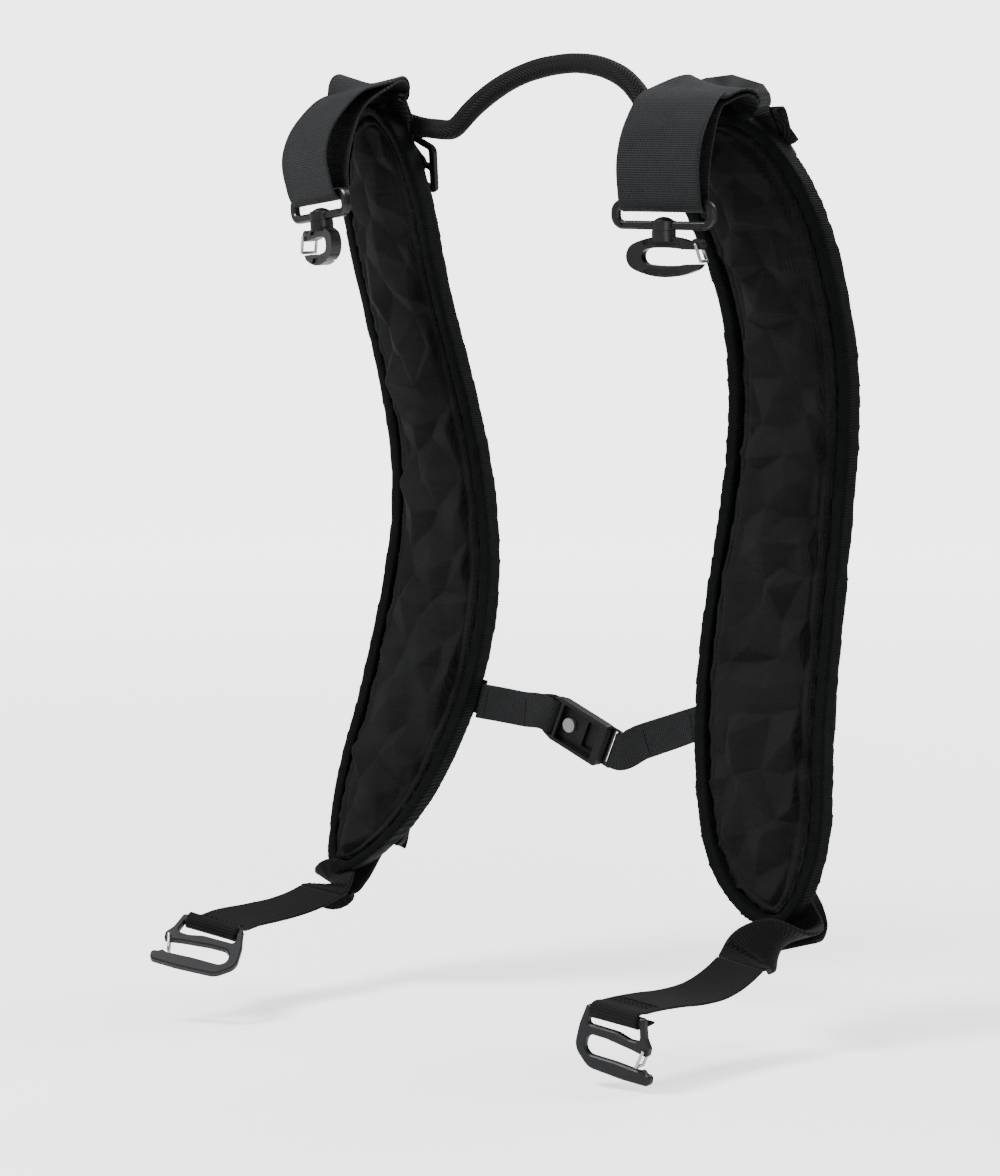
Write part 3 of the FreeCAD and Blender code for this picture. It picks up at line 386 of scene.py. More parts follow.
def anodised_material():
    """Fine-grained grey anodised plate."""
    s = Shader("anodised", 0.5, metallic=0.1, specular=0.22)
    where = s.place()
    speckle = s.noise(where, 2600, 2)
    wear = s.noise(where, 130, 5)
    s.colour(s.maths("MULTIPLY", speckle, s.maths("ADD", wear, 0.7)), grey(10, (0.95, 0.98, 1.1)),
             grey(38, (0.95, 0.98, 1.1)))
    s.rough(wear, 0.34, 0.55)
    s.bump(speckle, 0.05 * MM, 0.6)
    return s.material


def steel_material(name, level, roughness):
    """Bright steel with fine scratches along Z."""
    s = Shader(name, roughness, metallic=1.0)
    where = s.place(scale=(1, 1, 0.1))
    scratches = s.noise(where, 1500, 4)
    s.colour(scratches, grey(level * 0.8), grey(level))
    s.rough(scratches, roughness, roughness + 0.15)
    s.bump(scratches, 0.02 * MM, 0.4)
    return s.material


def floor_material():
    """Pale floor that glows a little, more so far away, so that it merges with the backdrop."""
    s = Shader("floor", 0.7)
    where = s.place()
    patches = s.noise(where, 3, 2)
    s.colour(patches, (0.86, 0.86, 0.86), (0.89, 0.89, 0.89))
    s.surface.inputs["Emission Color"].default_value = (1, 1, 1, 1)
    distance = s.tree.nodes.new("ShaderNodeVectorMath")
    distance.operation = "LENGTH"
    s.link(where, distance.inputs[0])
    fade = s.tree.nodes.new("ShaderNodeMapRange")
    fade.inputs["From Min"].default_value = 0.35
    fade.inputs["From Max"].default_value = 2.6
    fade.inputs["To Min"].default_value = 1.2
    fade.inputs["To Max"].default_value = 3.6
    s.link(distance.outputs["Value"], fade.inputs["Value"])
    seen = s.tree.nodes.new("ShaderNodeLightPath").outputs["Is Camera Ray"]
    glow = s.maths("MAXIMUM", s.maths("MULTIPLY", fade.outputs["Result"], seen), 0.4)
    s.link(glow, s.surface.inputs["Emission Strength"])
    return s.material


KNIT = knit_material()
LINING = lining_material()
BINDING = binding_material()
TOP_WEBBING = webbing_material("top_webbing", 1.25 * MM, 46, 0.6)
LOWER_WEBBING = webbing_material("lower_webbing", 1.4 * MM, 26, 0.7)
CHEST_WEBBING = webbing_material("chest_webbing", 1.3 * MM, 38, 0.65)
THREAD = thread_material()
MOULDED = moulded_material()
COATED = coated_metal_material()
ANODISED = anodised_material()
WIRE = steel_material("wire", 190, 0.22)
DISC = steel_material("disc", 150, 0.38)


# ---------------------------------------------------------------- shoulder pads

def sliced(node, heights):
    """Lowest and highest X of a CAD node at each height."""
    mesh = NODES[node].data
    points = coordinates(mesh)
    ends = np.array([edge.vertices[:] for edge in mesh.edges])
    first, last = points[ends[:, 0]], points[ends[:, 1]]
    spans = []
    for height in heights:
        crossing = ((first[:, 2] - height) * (last[:, 2] - height) <= 0) & (first[:, 2] != last[:, 2])
        a, b = first[crossing], last[crossing]
        share = (height - a[:, 2]) / (b[:, 2] - a[:, 2])
        xs = a[:, 0] + share * (b[:, 0] - a[:, 0])
        spans.append((xs.min(), xs.max()))
    return np.array(spans)


def outline_loop(node, count=160):
    """The outline of a flat node as seen along Y: evenly spaced (x, z) points."""
    low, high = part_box(node)
    middle = (low.z + high.z) / 2
    half = (high.z - low.z) / 2 - 0.02 * MM
    heights = [middle + half * math.cos(math.pi * i / count) for i in range(count + 1)]
    spans = sliced(node, heights)
    loop = [(x, z) for x, z in zip(spans[:, 1], heights)]
    loop += [(x, z) for x, z in zip(spans[::-1, 0], heights[::-1])][1:-1]
    return resampled(np.array(loop), 3 * count)


def resampled(points, count, closed=True):
    """Points spaced evenly along a polyline."""
    if closed:
        points = np.vstack([points, points[:1]])
    steps = np.linalg.norm(np.diff(points, axis=0), axis=1)
    distance = np.concatenate([[0], np.cumsum(steps)])
    stops = np.linspace(0, distance[-1], count + 1 if closed else count)
    if closed:
        stops = stops[:-1]
    return np.stack([np.interp(stops, distance, points[:, k]) for k in range(points.shape[1])], 1)


def tree_of(points):
    """Nearest-point search over (x, z) points."""
    tree = KDTree(len(points))
    for i, (x, z) in enumerate(points):
        tree.insert((x, 0, z), i)
    tree.balance()
    return tree


def facet_tree(low, high, seed):
    """A crumpled surface of flat facets: raised peaks on an uneven honeycomb, with hollows between."""
    pick = random.Random(seed)
    pitch = 30 * MM
    row = pitch * math.sqrt(3) / 2
    points = []
    heights = []
    rows = int((high.z - low.z) / row) + 4
    columns = int((high.x - low.x) / pitch) + 4
    for j in range(rows):
        for i in range(columns):
            x = low.x + (i - 1.5 + (j % 2) / 2) * pitch
            z = low.z + (j - 1.5) * row
            kinds = ((0, 0, 4.2), (pitch / 2, row / 3, -3.2), (0, 2 * row / 3, -2.6))
            for dx, dz, height in kinds:
                stray = pitch * 0.2
                points.append(Vector((x + dx + pick.uniform(-stray, stray),
                                      z + dz + pick.uniform(-stray, stray))))
                heights.append((height + pick.uniform(-1.5, 1.5)) * MM)
    made = delaunay_2d_cdt(points, [], [], 0, 1e-7)
    vertices = [Vector((p.x, heights[origin[0]], p.y)) for p, origin in zip(made[0], made[3])]
    return BVHTree.FromPolygons(vertices, made[2])


def facet_height(tree, x, z):
    """Height of the crumpled surface, with its ridges rounded a little, as cloth over foam is."""
    reach = 0.5 * MM
    total = 0.0
    for dx, dz in ((0, 0), (reach, 0), (-reach, 0), (0, reach), (0, -reach)):
        hit = tree.ray_cast(Vector((x + dx, 1, z + dz)), Vector((0, -1, 0)))[0]
        total += hit.y if hit else 0.0
    return total / 5


def puffed(obj, cap_front, cap_back):
    """Cloth simulation under pressure; each point's movement is capped, and less on the sewn back."""
    scene = bpy.context.scene
    start = coordinates(obj.data)
    facing = -vertex_normals(obj.data)[:, 1]
    last_frame = 20
    cloth = obj.modifiers.new("cloth", "CLOTH")
    cloth.settings.quality = 5
    cloth.settings.mass = 0.3
    cloth.settings.use_pressure = True
    cloth.settings.uniform_pressure_force = 4
    cloth.settings.effector_weights.gravity = 0
    cloth.point_cache.frame_start = 1
    cloth.point_cache.frame_end = last_frame
    for step in range(1, last_frame + 1):
        scene.frame_set(step)
    evaluated = obj.evaluated_get(bpy.context.evaluated_depsgraph_get())
    moved = coordinates(evaluated.data) - start
    obj.modifiers.remove(cloth)
    scene.frame_set(1)
    length = np.linalg.norm(moved, axis=1) + 1e-12
    cap = np.where(facing > 0.2, cap_front, cap_back)
    moved *= np.minimum(1.0, cap / length)[:, None]
    set_coordinates(obj.data, start + moved)
    return obj


def smooth_step(value, low, high):
    share = np.clip((value - low) / (high - low), 0, 1)
    return share * share * (3 - 2 * share)


def build_pad_body(side, seed):
    """The foam pad under its moulded knit face: puffed by simulation, then given its facets, the groove
    round them and the flat sewn rim."""
    nodes = [f"foam_core_{side}", f"face_panel_{side}"]
    pad = remeshed(copy_of(f"pad_body_{side}", nodes), 3.5 * MM, 1)
    puffed(pad, 1.6 * MM, 0.2 * MM)
    refined(pad, 2)
    low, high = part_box(f"face_panel_{side}")
    facets = facet_tree(low, high, seed)
    edge = tree_of(outline_loop(f"face_panel_{side}"))
    points = coordinates(pad.data)
    normals = vertex_normals(pad.data)
    front = smooth_step(-normals[:, 1], 0.25, 0.6)
    rim, groove = 5.6 * MM, 1.3 * MM
    lift = np.zeros(len(points))
    for i, (x, y, z) in enumerate(points):
        if front[i] <= 0:
            continue
        inset = edge.find((x, 0, z))[2]
        inside = min(max((inset - rim) / (3 * MM), 0.0), 1.0)
        lift[i] = facet_height(facets, x, z) * inside - 1.0 * MM * (1 - inside)
        lift[i] -= 1.5 * MM * math.exp(-((inset - rim) / groove) ** 2)
        lift[i] += 0.22 * MM * noise.noise(Vector((x * 60, y * 60, z * 420)))
    set_coordinates(pad.data, points + normals * (lift * front)[:, None])
    return finish_piece(pad, nodes, KNIT)


def build_pad_back(side):
    """The lining sheet, with the shallow pull-in of the seams that hold the straps."""
    node = f"back_panel_{side}"
    sheet = remeshed(copy_of(f"pad_back_{side}", [node]), 0.9 * MM, 2)
    points = coordinates(sheet.data)
    normals = vertex_normals(sheet.data)
    behind = smooth_step(normals[:, 1], 0.3, 0.8)
    ripple = np.array([noise.noise(Vector(p) * 55) for p in points])
    set_coordinates(sheet.data, points + normals * (behind * (ripple - 0.5) * 0.5 * MM)[:, None])
    return finish_piece(sheet, [node], LINING)


def build_binding(side):
    """Twill tape folded over the pad's rim: rounded, with a slight unevenness from sewing."""
    node = f"edge_binding_{side}"
    tape = remeshed(copy_of(f"binding_{side}", [node]), 1.3 * MM, 7)
    points = coordinates(tape.data)
    normals = vertex_normals(tape.data)
    swell = np.array([noise.noise(Vector(p) * 90) for p in points])
    set_coordinates(tape.data, points + normals * ((0.45 + 0.4 * swell) * MM)[:, None])
    return finish_piece(tape, [node], BINDING)


# ---------------------------------------------------------------- thread

def tube_faces(rings, around, base=0):
    """Faces of a closed tube whose rings follow each other in the vertex list from base on."""
    faces = []
    for ring in range(rings - 1):
        for k in range(around):
            a = base + ring * around + k
            b = base + ring * around + (k + 1) % around
            faces.append((a, b, b + around, a + around))
    faces.append(tuple(base + k for k in range(around))[::-1])
    faces.append(tuple(base + (rings - 1) * around + k for k in range(around)))
    return faces


def thread_rows(name, stitches, radius=0.32 * MM):
    """One mesh of short plump threads, each given by its two ends and the direction it stands proud."""
    vertices = []
    faces = []
    around = 6
    profile = ((0.0, 0.25), (0.2, 0.85), (0.5, 1.0), (0.8, 0.85), (1.0, 0.25))
    for start, end, proud in stitches:
        along = (end - start).normalized()
        side = along.cross(proud).normalized()
        up = side.cross(along)
        base = len(vertices)
        for share, size in profile:
            arch = proud * (radius * (0.9 * math.sin(math.pi * share) - 0.2))
            centre = start.lerp(end, share) + arch
            for k in range(around):
                turn = math.tau * k / around
                vertices.append(centre + (side * math.cos(turn) + up * math.sin(turn)) * (radius * size))
        faces += tube_faces(len(profile), around, base)
    return new_object(name, vertices, faces)


def rim_stitches(side, pad):
    """The row of stitches on the pad's flat rim."""
    loop = outline_loop(f"face_panel_{side}")
    surface = BVHTree.FromPolygons([v.co for v in pad.data.vertices],
                                   [p.vertices for p in pad.data.polygons])
    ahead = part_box(f"face_panel_{side}")[0].y - 0.05
    length = np.linalg.norm(np.diff(np.vstack([loop, loop[:1]]), axis=0), axis=1).sum()
    count = int(length / (3.2 * MM))
    even = resampled(loop, count * 2)
    tangent = np.roll(even, -1, axis=0) - np.roll(even, 1, axis=0)
    tangent /= np.linalg.norm(tangent, axis=1)[:, None]
    inward = np.stack([-tangent[:, 1], tangent[:, 0]], 1)
    centre = even.mean(axis=0)
    probe = even[0] + inward[0] * MM
    if np.linalg.norm(probe - centre) > np.linalg.norm(even[0] - centre):
        inward = -inward
    seats = even + inward * 3.0 * MM
    stitches = []
    for i in range(count):
        ends = []
        for x, z in (seats[2 * i], seats[2 * i + 1]):
            hit, normal = surface.ray_cast(Vector((x, ahead, z)), Vector((0, 1, 0)))[:2]
            if hit is not None:
                ends.append((hit, normal))
        if len(ends) == 2:
            stitches.append((ends[0][0], ends[1][0], ends[0][1]))
    threads = thread_rows(f"rim_stitches_{side}", stitches)
    return detail_piece(threads, "harness", THREAD)


# ---------------------------------------------------------------- webbing

def spline(points, spacing):
    """A smooth curve through the points, as points about one spacing apart, and each one's knot."""
    points = np.array(points, float)
    gaps = np.linalg.norm(np.diff(points, axis=0), axis=1)
    knots = np.concatenate([[0], np.cumsum(gaps)])
    ahead = np.gradient(points, knots, axis=0)
    curve = []
    places = []
    for i, gap in enumerate(gaps):
        count = max(int(gap / spacing), 1)
        for k in range(count):
            t = k / count
            curve.append((2 * t ** 3 - 3 * t ** 2 + 1) * points[i]
                         + (t ** 3 - 2 * t ** 2 + t) * gap * ahead[i]
                         + (3 * t ** 2 - 2 * t ** 3) * points[i + 1]
                         + (t ** 3 - t ** 2) * gap * ahead[i + 1])
            places.append(i + t)
    curve.append(points[-1])
    places.append(len(gaps))
    return np.array(curve), np.array(places)


class Strip:
    """A strap's run: its centre line, and the directions across its width and out of its face."""

    def __init__(self, centres, acrosses, width, thick, spacing=0.9 * MM):
        self.width = width
        self.thick = thick
        self.centre, places = spline(centres, spacing)
        turning = np.array([tuple(a) for a in acrosses], float)
        index = np.minimum(places.astype(int), len(turning) - 2)
        share = places - index
        share = (share * share * (3 - 2 * share))[:, None]
        across = turning[index] * (1 - share) + turning[index + 1] * share
        for _ in range(60):
            across[1:-1] = (across[:-2] + 2 * across[1:-1] + across[2:]) / 4
        along = np.gradient(self.centre, axis=0)
        along /= np.linalg.norm(along, axis=1)[:, None]
        across -= along * np.sum(across * along, axis=1)[:, None]
        self.across = across / np.linalg.norm(across, axis=1)[:, None]
        self.out = np.cross(along, self.across)
        self.count = len(self.centre)
        steps = np.linalg.norm(np.diff(self.centre, axis=0), axis=1)
        self.distance = np.concatenate([[0], np.cumsum(steps)])
        self.length = self.distance[-1]

    def at(self, along, across, out):
        """A point at a distance along, and offsets across and out, in metres, with the out direction."""
        i = min(int(np.searchsorted(self.distance, along)), self.count - 1)
        place = self.centre[i] + self.across[i] * across + self.out[i] * out
        return Vector(place), Vector(self.out[i])


JOINTS = {joint["name"]: joint for joint in frame["joints"]}


def pivot(name):
    """A joint's place and direction."""
    return Vector(JOINTS[name]["pos_m"]), Vector(JOINTS[name]["axis"])


def upright(across):
    """The direction square to across that is nearest to straight up."""
    up = Vector((0, 0, 1))
    return (up - across * up.dot(across)).normalized()


class PadBack:
    """The pad's back surface, measured by distance down its middle line from its upper end."""

    def __init__(self, side):
        node = f"edge_binding_{side}"
        low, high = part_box(node)
        self.side = side
        self.sign = 1 if side == "right" else -1
        steps = 60
        heights = [high.z - 0.05 * MM - (high.z - low.z - 0.1 * MM) * i / steps for i in range(steps + 1)]
        spans = sliced(node, heights)
        self.spans = spans
        self.heights = np.array(heights)
        back = NODES[f"back_panel_{side}"].data
        self.surface = BVHTree.FromPolygons([v.co for v in back.vertices],
                                            [f.vertices for f in back.polygons])
        behind = high.y + 0.2
        middle = []
        for x, z in zip(spans.mean(axis=1), heights):
            hit = self.surface.ray_cast(Vector((x, behind, z)), Vector((0, -1, 0)))[0]
            middle.append(hit if hit else None)
        known = [i for i, hit in enumerate(middle) if hit]
        first, last = known[0], known[-1]
        for i in range(len(middle)):
            if middle[i] is None:
                near = first if i < first else last
                away = (middle[near] - middle[near + (1 if near == first else -1)])
                middle[i] = middle[near] + away * abs(i - near)
        self.middle = np.array([tuple(hit) for hit in middle])
        steps = np.linalg.norm(np.diff(self.middle, axis=0), axis=1)
        self.distance = np.concatenate([[0], np.cumsum(steps)])
        self.length = self.distance[-1]

    def place(self, distance):
        """A point on the middle line, run on straight beyond the pad's ends."""
        inside = min(max(distance, 0.0), self.length)
        point = Vector([np.interp(inside, self.distance, self.middle[:, k]) for k in range(3)])
        return point + self.down(inside) * (distance - inside)

    def down(self, distance):
        reach = 8 * MM
        low = min(max(distance - reach, 0.0), self.length - 2 * reach)
        ends = [Vector([np.interp(d, self.distance, self.middle[:, k]) for k in range(3)])
                for d in (low, low + 2 * reach)]
        return (ends[1] - ends[0]).normalized()

    def normal(self, distance):
        """The way out of the back."""
        inside = min(max(distance, 12 * MM), self.length - 12 * MM)
        point = self.place(inside)
        found = self.surface.find_nearest(point)
        way = found[1]
        if way.y < 0:
            way = -way
        down = self.down(distance)
        return (way - down * way.dot(down)).normalized()

    def width(self, distance):
        """Across the pad, towards -X on both pads."""
        return self.normal(distance).cross(self.down(distance)).normalized()

    def back(self, distance, out, along_width=0.0):
        """A point out beyond the back cloth."""
        return self.place(distance) + self.normal(distance) * out + self.width(distance) * along_width

    def half(self, distance):
        """Half the pad's width, as seen along Y."""
        spans = self.spans[:, 1] - self.spans[:, 0]
        return float(np.interp(self.place(distance).z, self.heights[::-1], spans[::-1])) / 2


# Strap widths and thickness, a little less than the CAD straps' own.
TOP_WEB, LOWER_WEB, CHEST_WEB, THICK = 47.4 * MM, 29.6 * MM, 19.7 * MM, 1.5 * MM
# How far the middle of a sewn strap stands off the back panel, and the step to the next layer.
SEWN = 1.5 * MM
PLY = 2.1 * MM
# How far above the pad's tip the ladder lock and the chest webbing sit.
LOCK_FROM_TIP = 50 * MM
CHEST_FROM_TIP = 117 * MM


def top_strip(pad):
    """Sewn to the pad's back, through the slider, over the pad's end, round the ring's bar and back."""
    bar, across = pivot(f"ring_tilt_{pad.side}")
    up = upright(across)
    forward = across.cross(up)
    slider = 34 * MM
    pitch = 13.6 * MM
    over = SEWN + PLY + 6 * MM
    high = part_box(f"edge_binding_{pad.side}")[1]
    shoulder = (across - up * 0.22).normalized()
    centres = [pad.back(slider + pitch + 15 * MM, SEWN), pad.back(slider + pitch + 7 * MM, SEWN),
               pad.back(slider + pitch, SEWN), pad.back(slider + pitch / 2, (SEWN + over) / 2),
               pad.back(slider, over), pad.back(slider - pitch / 2, (SEWN + PLY + over) / 2),
               pad.back(slider - pitch, SEWN + PLY)]
    acrosses = [pad.width(slider)] * len(centres)
    end = pad.place(0) - pad.normal(0) * 5.5 * MM
    end.z = high.z
    centres += [pad.back(5 * MM, SEWN + PLY + 1.3 * MM), end + Vector((0, 3, 9.6)) * MM]
    acrosses += [pad.width(5 * MM), shoulder]
    loop = [(-30, 58.5), (-19, 55.5), (-6, 46), (4, 34), (8.5, 21.5), (7.5, 9)]
    wrap = 3.9
    loop += [(wrap * math.cos(math.radians(turn)), wrap * math.sin(math.radians(turn)))
             for turn in (-50, -90, -135, -180)]
    loop += [(-4.5, 11), (-9, 29), (-18, 46), (-30, 54.5)]
    for forwards, upwards in loop:
        centres.append(bar + (forward * forwards + up * upwards) * MM)
        acrosses.append(across)
    centres += [end + Vector((0, 2.8, 6.8)) * MM, pad.back(5 * MM, SEWN + 1.3 * MM), pad.back(12 * MM, SEWN)]
    acrosses += [shoulder, pad.width(5 * MM), pad.width(12 * MM)]
    return Strip(centres, acrosses, TOP_WEB, THICK)


def hook_directions(side):
    """The G-hook's bar, and the directions across, up and back of the webbing round it."""
    bar, across = pivot(f"g_hook_tilt_{side}")
    up = upright(across)
    return bar, across, up, up.cross(across).normalized()


def tab_directions(side):
    """The fold between the anchor tab and the lower strap, its width and the way the strap leaves."""
    fold, across = pivot(f"strap_swing_{side}")
    run = hook_directions(side)[0] - fold
    run.z = 0
    droop = math.radians({"right": 24, "left": 11}[side])
    away = run.normalized() * math.cos(droop) - Vector((0, 0, math.sin(droop)))
    across = (across - away * across.dot(away)).normalized()
    return fold - away * 1.2 * MM, across, away


def lower_strip(side):
    start, tab_across, away = tab_directions(side)
    bar, across, up, back = hook_directions(side)
    wrap = 3.84
    rise = {"right": 3.4, "left": -0.4}[side]

    def level(backwards, upwards):
        return bar + (back * backwards + up * upwards) * MM

    centres = [level(14, -2.8), level(7, -3.6)]
    for angle in (-60, -100, -145, -190, -235, -265):
        turn = math.radians(angle)
        centres.append(level(wrap * math.cos(turn), wrap * math.sin(turn)))
    centres += [level(7, 1.8 + rise / 2), level(15, rise)]
    acrosses = [across] * len(centres)
    first = centres[-1]
    last = start + away * 9 * MM
    sag = (last - first).length * 1.15
    for share in (0.25, 0.5, 0.75, 1.0):
        settled = share * share * (3 - 2 * share)
        outgoing = share ** 3 - 2 * share ** 2 + share
        incoming = share ** 3 - share ** 2
        centres.append(first.lerp(last, settled) + (back * outgoing - away * incoming) * sag)
        acrosses.append((across * (1 - settled) + tab_across * settled).normalized())
    centres += [start + away * 5 * MM, start + away * 1.5 * MM]
    acrosses += [tab_across] * 2
    return Strip(centres, acrosses, LOWER_WEB, THICK)


def anchor_strip(pad):
    end, across, away = tab_directions(pad.side)
    thick = 3.0 * MM
    behind = thick / 2 + 0.9 * MM
    drift = {"right": -9 * MM, "left": 0.0}[pad.side]
    places = [(-32, behind, 0), (-16, behind, 0.3), (0, behind, 0.75), (7, behind - 1.8 * MM, 1),
              (10.5, -4.6 * MM, 1)]
    centres = [pad.back(pad.length + along * MM, out, drift * share) for along, out, share in places]
    acrosses = [pad.width(pad.length + along * MM) for along, out, share in places]
    centres += [end - away * 10 * MM, end - away * 4 * MM, end]
    acrosses += [(acrosses[-1] + across).normalized(), across, across]
    return Strip(centres, acrosses, LOWER_WEB, thick)


def adjuster_strip(pad):
    origin, width = pivot(f"ladder_tilt_{pad.side}")
    distance = pad.length - LOCK_FROM_TIP
    down = pad.down(distance)
    out = pad.normal(distance)
    stand_off = 8.5
    wrap = 3.2
    centres = []
    acrosses = []

    def sewn(above, raised):
        centres.append(pad.back(distance - above * MM, raised))
        acrosses.append(pad.width(distance - above * MM))

    def level(downwards, outwards):
        centres.append(origin + (down * downwards + out * outwards) * MM)
        acrosses.append(width)

    for above in (40, 28, 18):
        sewn(above, SEWN)
    level(-8, 3.2 - stand_off)
    for angle in (-100, -50, 0, 50, 100):
        level(wrap * math.cos(math.radians(angle)), wrap * math.sin(math.radians(angle)))
    level(-9, 5.4 - stand_off)
    for above in (18, 28, 40):
        sewn(above, SEWN + PLY)
    return Strip(centres, acrosses, LOWER_WEB, THICK)


def tail_strip(pad):
    origin, width = pivot(f"ladder_tilt_{pad.side}")
    distance = pad.length - LOCK_FROM_TIP
    lean = math.radians(6)
    up = (pad.down(distance) * -math.cos(lean) - pad.normal(distance) * math.sin(lean)).normalized()
    outward = up.cross(width)
    on_lock = 3.2
    places = [(6, on_lock), (13, on_lock), (20, on_lock + 1)]
    if pad.side == "right":
        places += [(28, 10), (36, 19), (45, 23), (53, 17), (56, 7)]
    else:
        places += [(25, on_lock + 1)]
    centres = [origin + (outward * out - up * below) * MM for below, out in places]
    return Strip(centres, [width] * len(centres), LOWER_WEB, THICK)


def chest_anchor_strip(pad):
    distance = pad.length - CHEST_FROM_TIP
    ends = [pad.back(distance, SEWN, pad.sign * reach)
            for reach in (1 * MM - pad.half(distance), 0.0, pad.half(distance) + 1.5 * MM)]
    return Strip(ends, [pad.down(distance)] * 3, CHEST_WEB, THICK)


def buckle_directions():
    """The buckle's centre, its length (to the right and down), its width (up) and its back."""
    slope = math.radians(23)
    along = Vector((math.cos(slope), 0, -math.sin(slope)))
    up = upright(along)
    points = coordinates(NODES["buckle_tray"].data)
    lengths = points @ np.array(along)
    widths = points @ np.array(up)
    low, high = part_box("buckle_tray")
    end_loop = 7 * MM
    middle = (lengths.min() + lengths.max() + end_loop) / 2
    centre = along * middle + up * ((widths.min() + widths.max()) / 2)
    centre.y = (low.y + high.y) / 2
    return centre, along, up, up.cross(along)


def sternum_strip(pad):
    start = pivot(f"sternum_swing_{pad.side}")[0]
    down = pad.down(pad.length - CHEST_FROM_TIP)
    centre, along, up, back = buckle_directions()
    outward = along * pad.sign
    reach = (34 / 2 + 5.8) * MM
    fold = 20 * MM
    if pad.side == "left":
        bar = centre + outward * reach
        wrap = (6 / 2 + 0.4 + 0.8) * MM
    else:
        bar = centre + outward * reach + back * (6 / 2 + 2 / 2 + 0.25) * MM
        wrap = (2 / 2 + 1.0 + 0.8) * MM
    ply = PLY / 2
    toward = (start - bar).normalized()
    far = bar + toward * fold
    centres = [start, start * 0.6 + far * 0.4, far - back * ply]
    for angle in (75, 110, 145, 180, 215, 250, 285):
        turn = math.radians(angle)
        centres.append(bar + outward * (wrap * math.cos(turn)) - back * (wrap * math.sin(turn)))
    centres.append(bar + toward * (fold * 0.5) + back * (ply + 0.25 * wrap))
    centres.append(far + back * ply - toward * 2 * MM)
    acrosses = [-down, (up - down).normalized()] + [up] * (len(centres) - 2)
    return Strip(centres, acrosses, CHEST_WEB, THICK)


def build_strap(name, strip, nodes, material):
    """A strap with soft, slightly thicker selvedges, in true coordinates for its weave."""
    columns = 20
    edge = 3
    wobble = 0.25 * MM
    half = strip.width / 2
    thick = strip.thick / 2
    section = []
    for k in range(columns + 1):
        u = -1 + 2 * k / columns
        selvedge = 0.12 * MM * math.exp(-((1 - abs(u)) * half / (1.6 * MM)) ** 2)
        section.append((u * (half - thick * 0.7), thick * 0.82 + selvedge))
    round_end = [(half - thick * 0.7 + thick * 0.7 * math.sin(t), thick * 0.85 * math.cos(t))
                 for t in (math.pi * (i + 1) / (edge + 1) for i in range(edge))]
    under = [(-u, -v) for u, v in section]
    other_end = [(-u, -v) for u, v in round_end]
    ring = section + round_end + under + other_end
    vertices = []
    for i in range(strip.count):
        drift = noise.noise(Vector((strip.distance[i] * 45, strip.centre[i][0] * 10, 3))) * wobble
        for u, v in ring:
            vertices.append(strip.centre[i] + strip.across[i] * (u + drift * 0.4) + strip.out[i] * v)
    size = len(ring)
    strap = new_object(name, [tuple(v) for v in vertices], tube_faces(strip.count, size))
    layer = strap.data.uv_layers.new(name="weave")
    loop_vertex = np.zeros(len(strap.data.loops), int)
    strap.data.loops.foreach_get("vertex_index", loop_vertex)
    across = np.array([p[0] for p in ring])
    coords = np.stack([across[loop_vertex % size], strip.distance[loop_vertex // size]], 1)
    layer.data.foreach_set("uv", coords.ravel())
    fix_normals(strap)
    return finish_piece(strap, nodes, material)


def fix_normals(obj):
    mesh = bmesh.new()
    mesh.from_mesh(obj.data)
    bmesh.ops.recalc_face_normals(mesh, faces=mesh.faces)
    mesh.to_mesh(obj.data)
    mesh.free()


def cross_row(strip, along, side, margin=2 * MM, length=2.0 * MM):
    """A straight row of stitches across a strap; side is +1 or -1 for its two faces."""
    stitches = []
    step = length * 1.35
    count = int((strip.width - 2 * margin) / step)
    for i in range(count):
        start = -strip.width / 2 + margin + i * step
        a, out = strip.at(along, start, side * strip.thick / 2)
        b = strip.at(along, start + length, side * strip.thick / 2)[0]
        stitches.append((a, b, out * side))
    return stitches


def zigzag_band(strip, along, depth, side, pitch=1.5 * MM):
    """A dense zigzag bar tack across a strap."""
    stitches = []
    count = int((strip.width - 3 * MM) / pitch)
    for i in range(count):
        start = -strip.width / 2 + 1.5 * MM + i * pitch
        ends = (along, along + depth) if i % 2 else (along + depth, along)
        a, out = strip.at(ends[0], start, side * strip.thick / 2)
        b = strip.at(ends[1], start + pitch, side * strip.thick / 2)[0]
        stitches.append((a, b, out * side))
    return stitches


# ---------------------------------------------------------------- grab handle

def handle_centres(count=60):
    """The grip's centre line, measured from slices of its CAD sleeve across X."""
    mesh = NODES["handle_sleeve"].data
    points = coordinates(mesh)
    ends = np.array([edge.vertices[:] for edge in mesh.edges])
    first, last = points[ends[:, 0]], points[ends[:, 1]]
    low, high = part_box("handle_sleeve")
    inset = 8 * MM
    line = []
    for x in np.linspace(low.x + inset, high.x - inset, count):
        crossing = ((first[:, 0] - x) * (last[:, 0] - x) <= 0) & (first[:, 0] != last[:, 0])
        a, b = first[crossing], last[crossing]
        share = ((x - a[:, 0]) / (b[:, 0] - a[:, 0]))[:, None]
        cut = a + share * (b - a)
        line.append((x, (cut[:, 1].min() + cut[:, 1].max()) / 2, (cut[:, 2].min() + cut[:, 2].max()) / 2))
    return np.array(line)


def tab_run(pad):
    """Three points along the handle's sewn end, and its width direction. They lie on the pad's outer
    half, though the CAD tabs are on its inner half: a known fault."""
    distance = 20 * MM
    half = pad.half(35 * MM)
    raised = 2.5 * MM
    reaches = (25 * MM, (25 * MM + half) / 2, half)
    line = [np.array(pad.back(distance, raised + 1.5 * MM * (i / 2), -pad.sign * reach))
            for i, reach in enumerate(reaches)]
    return line, np.array(pad.down(distance))


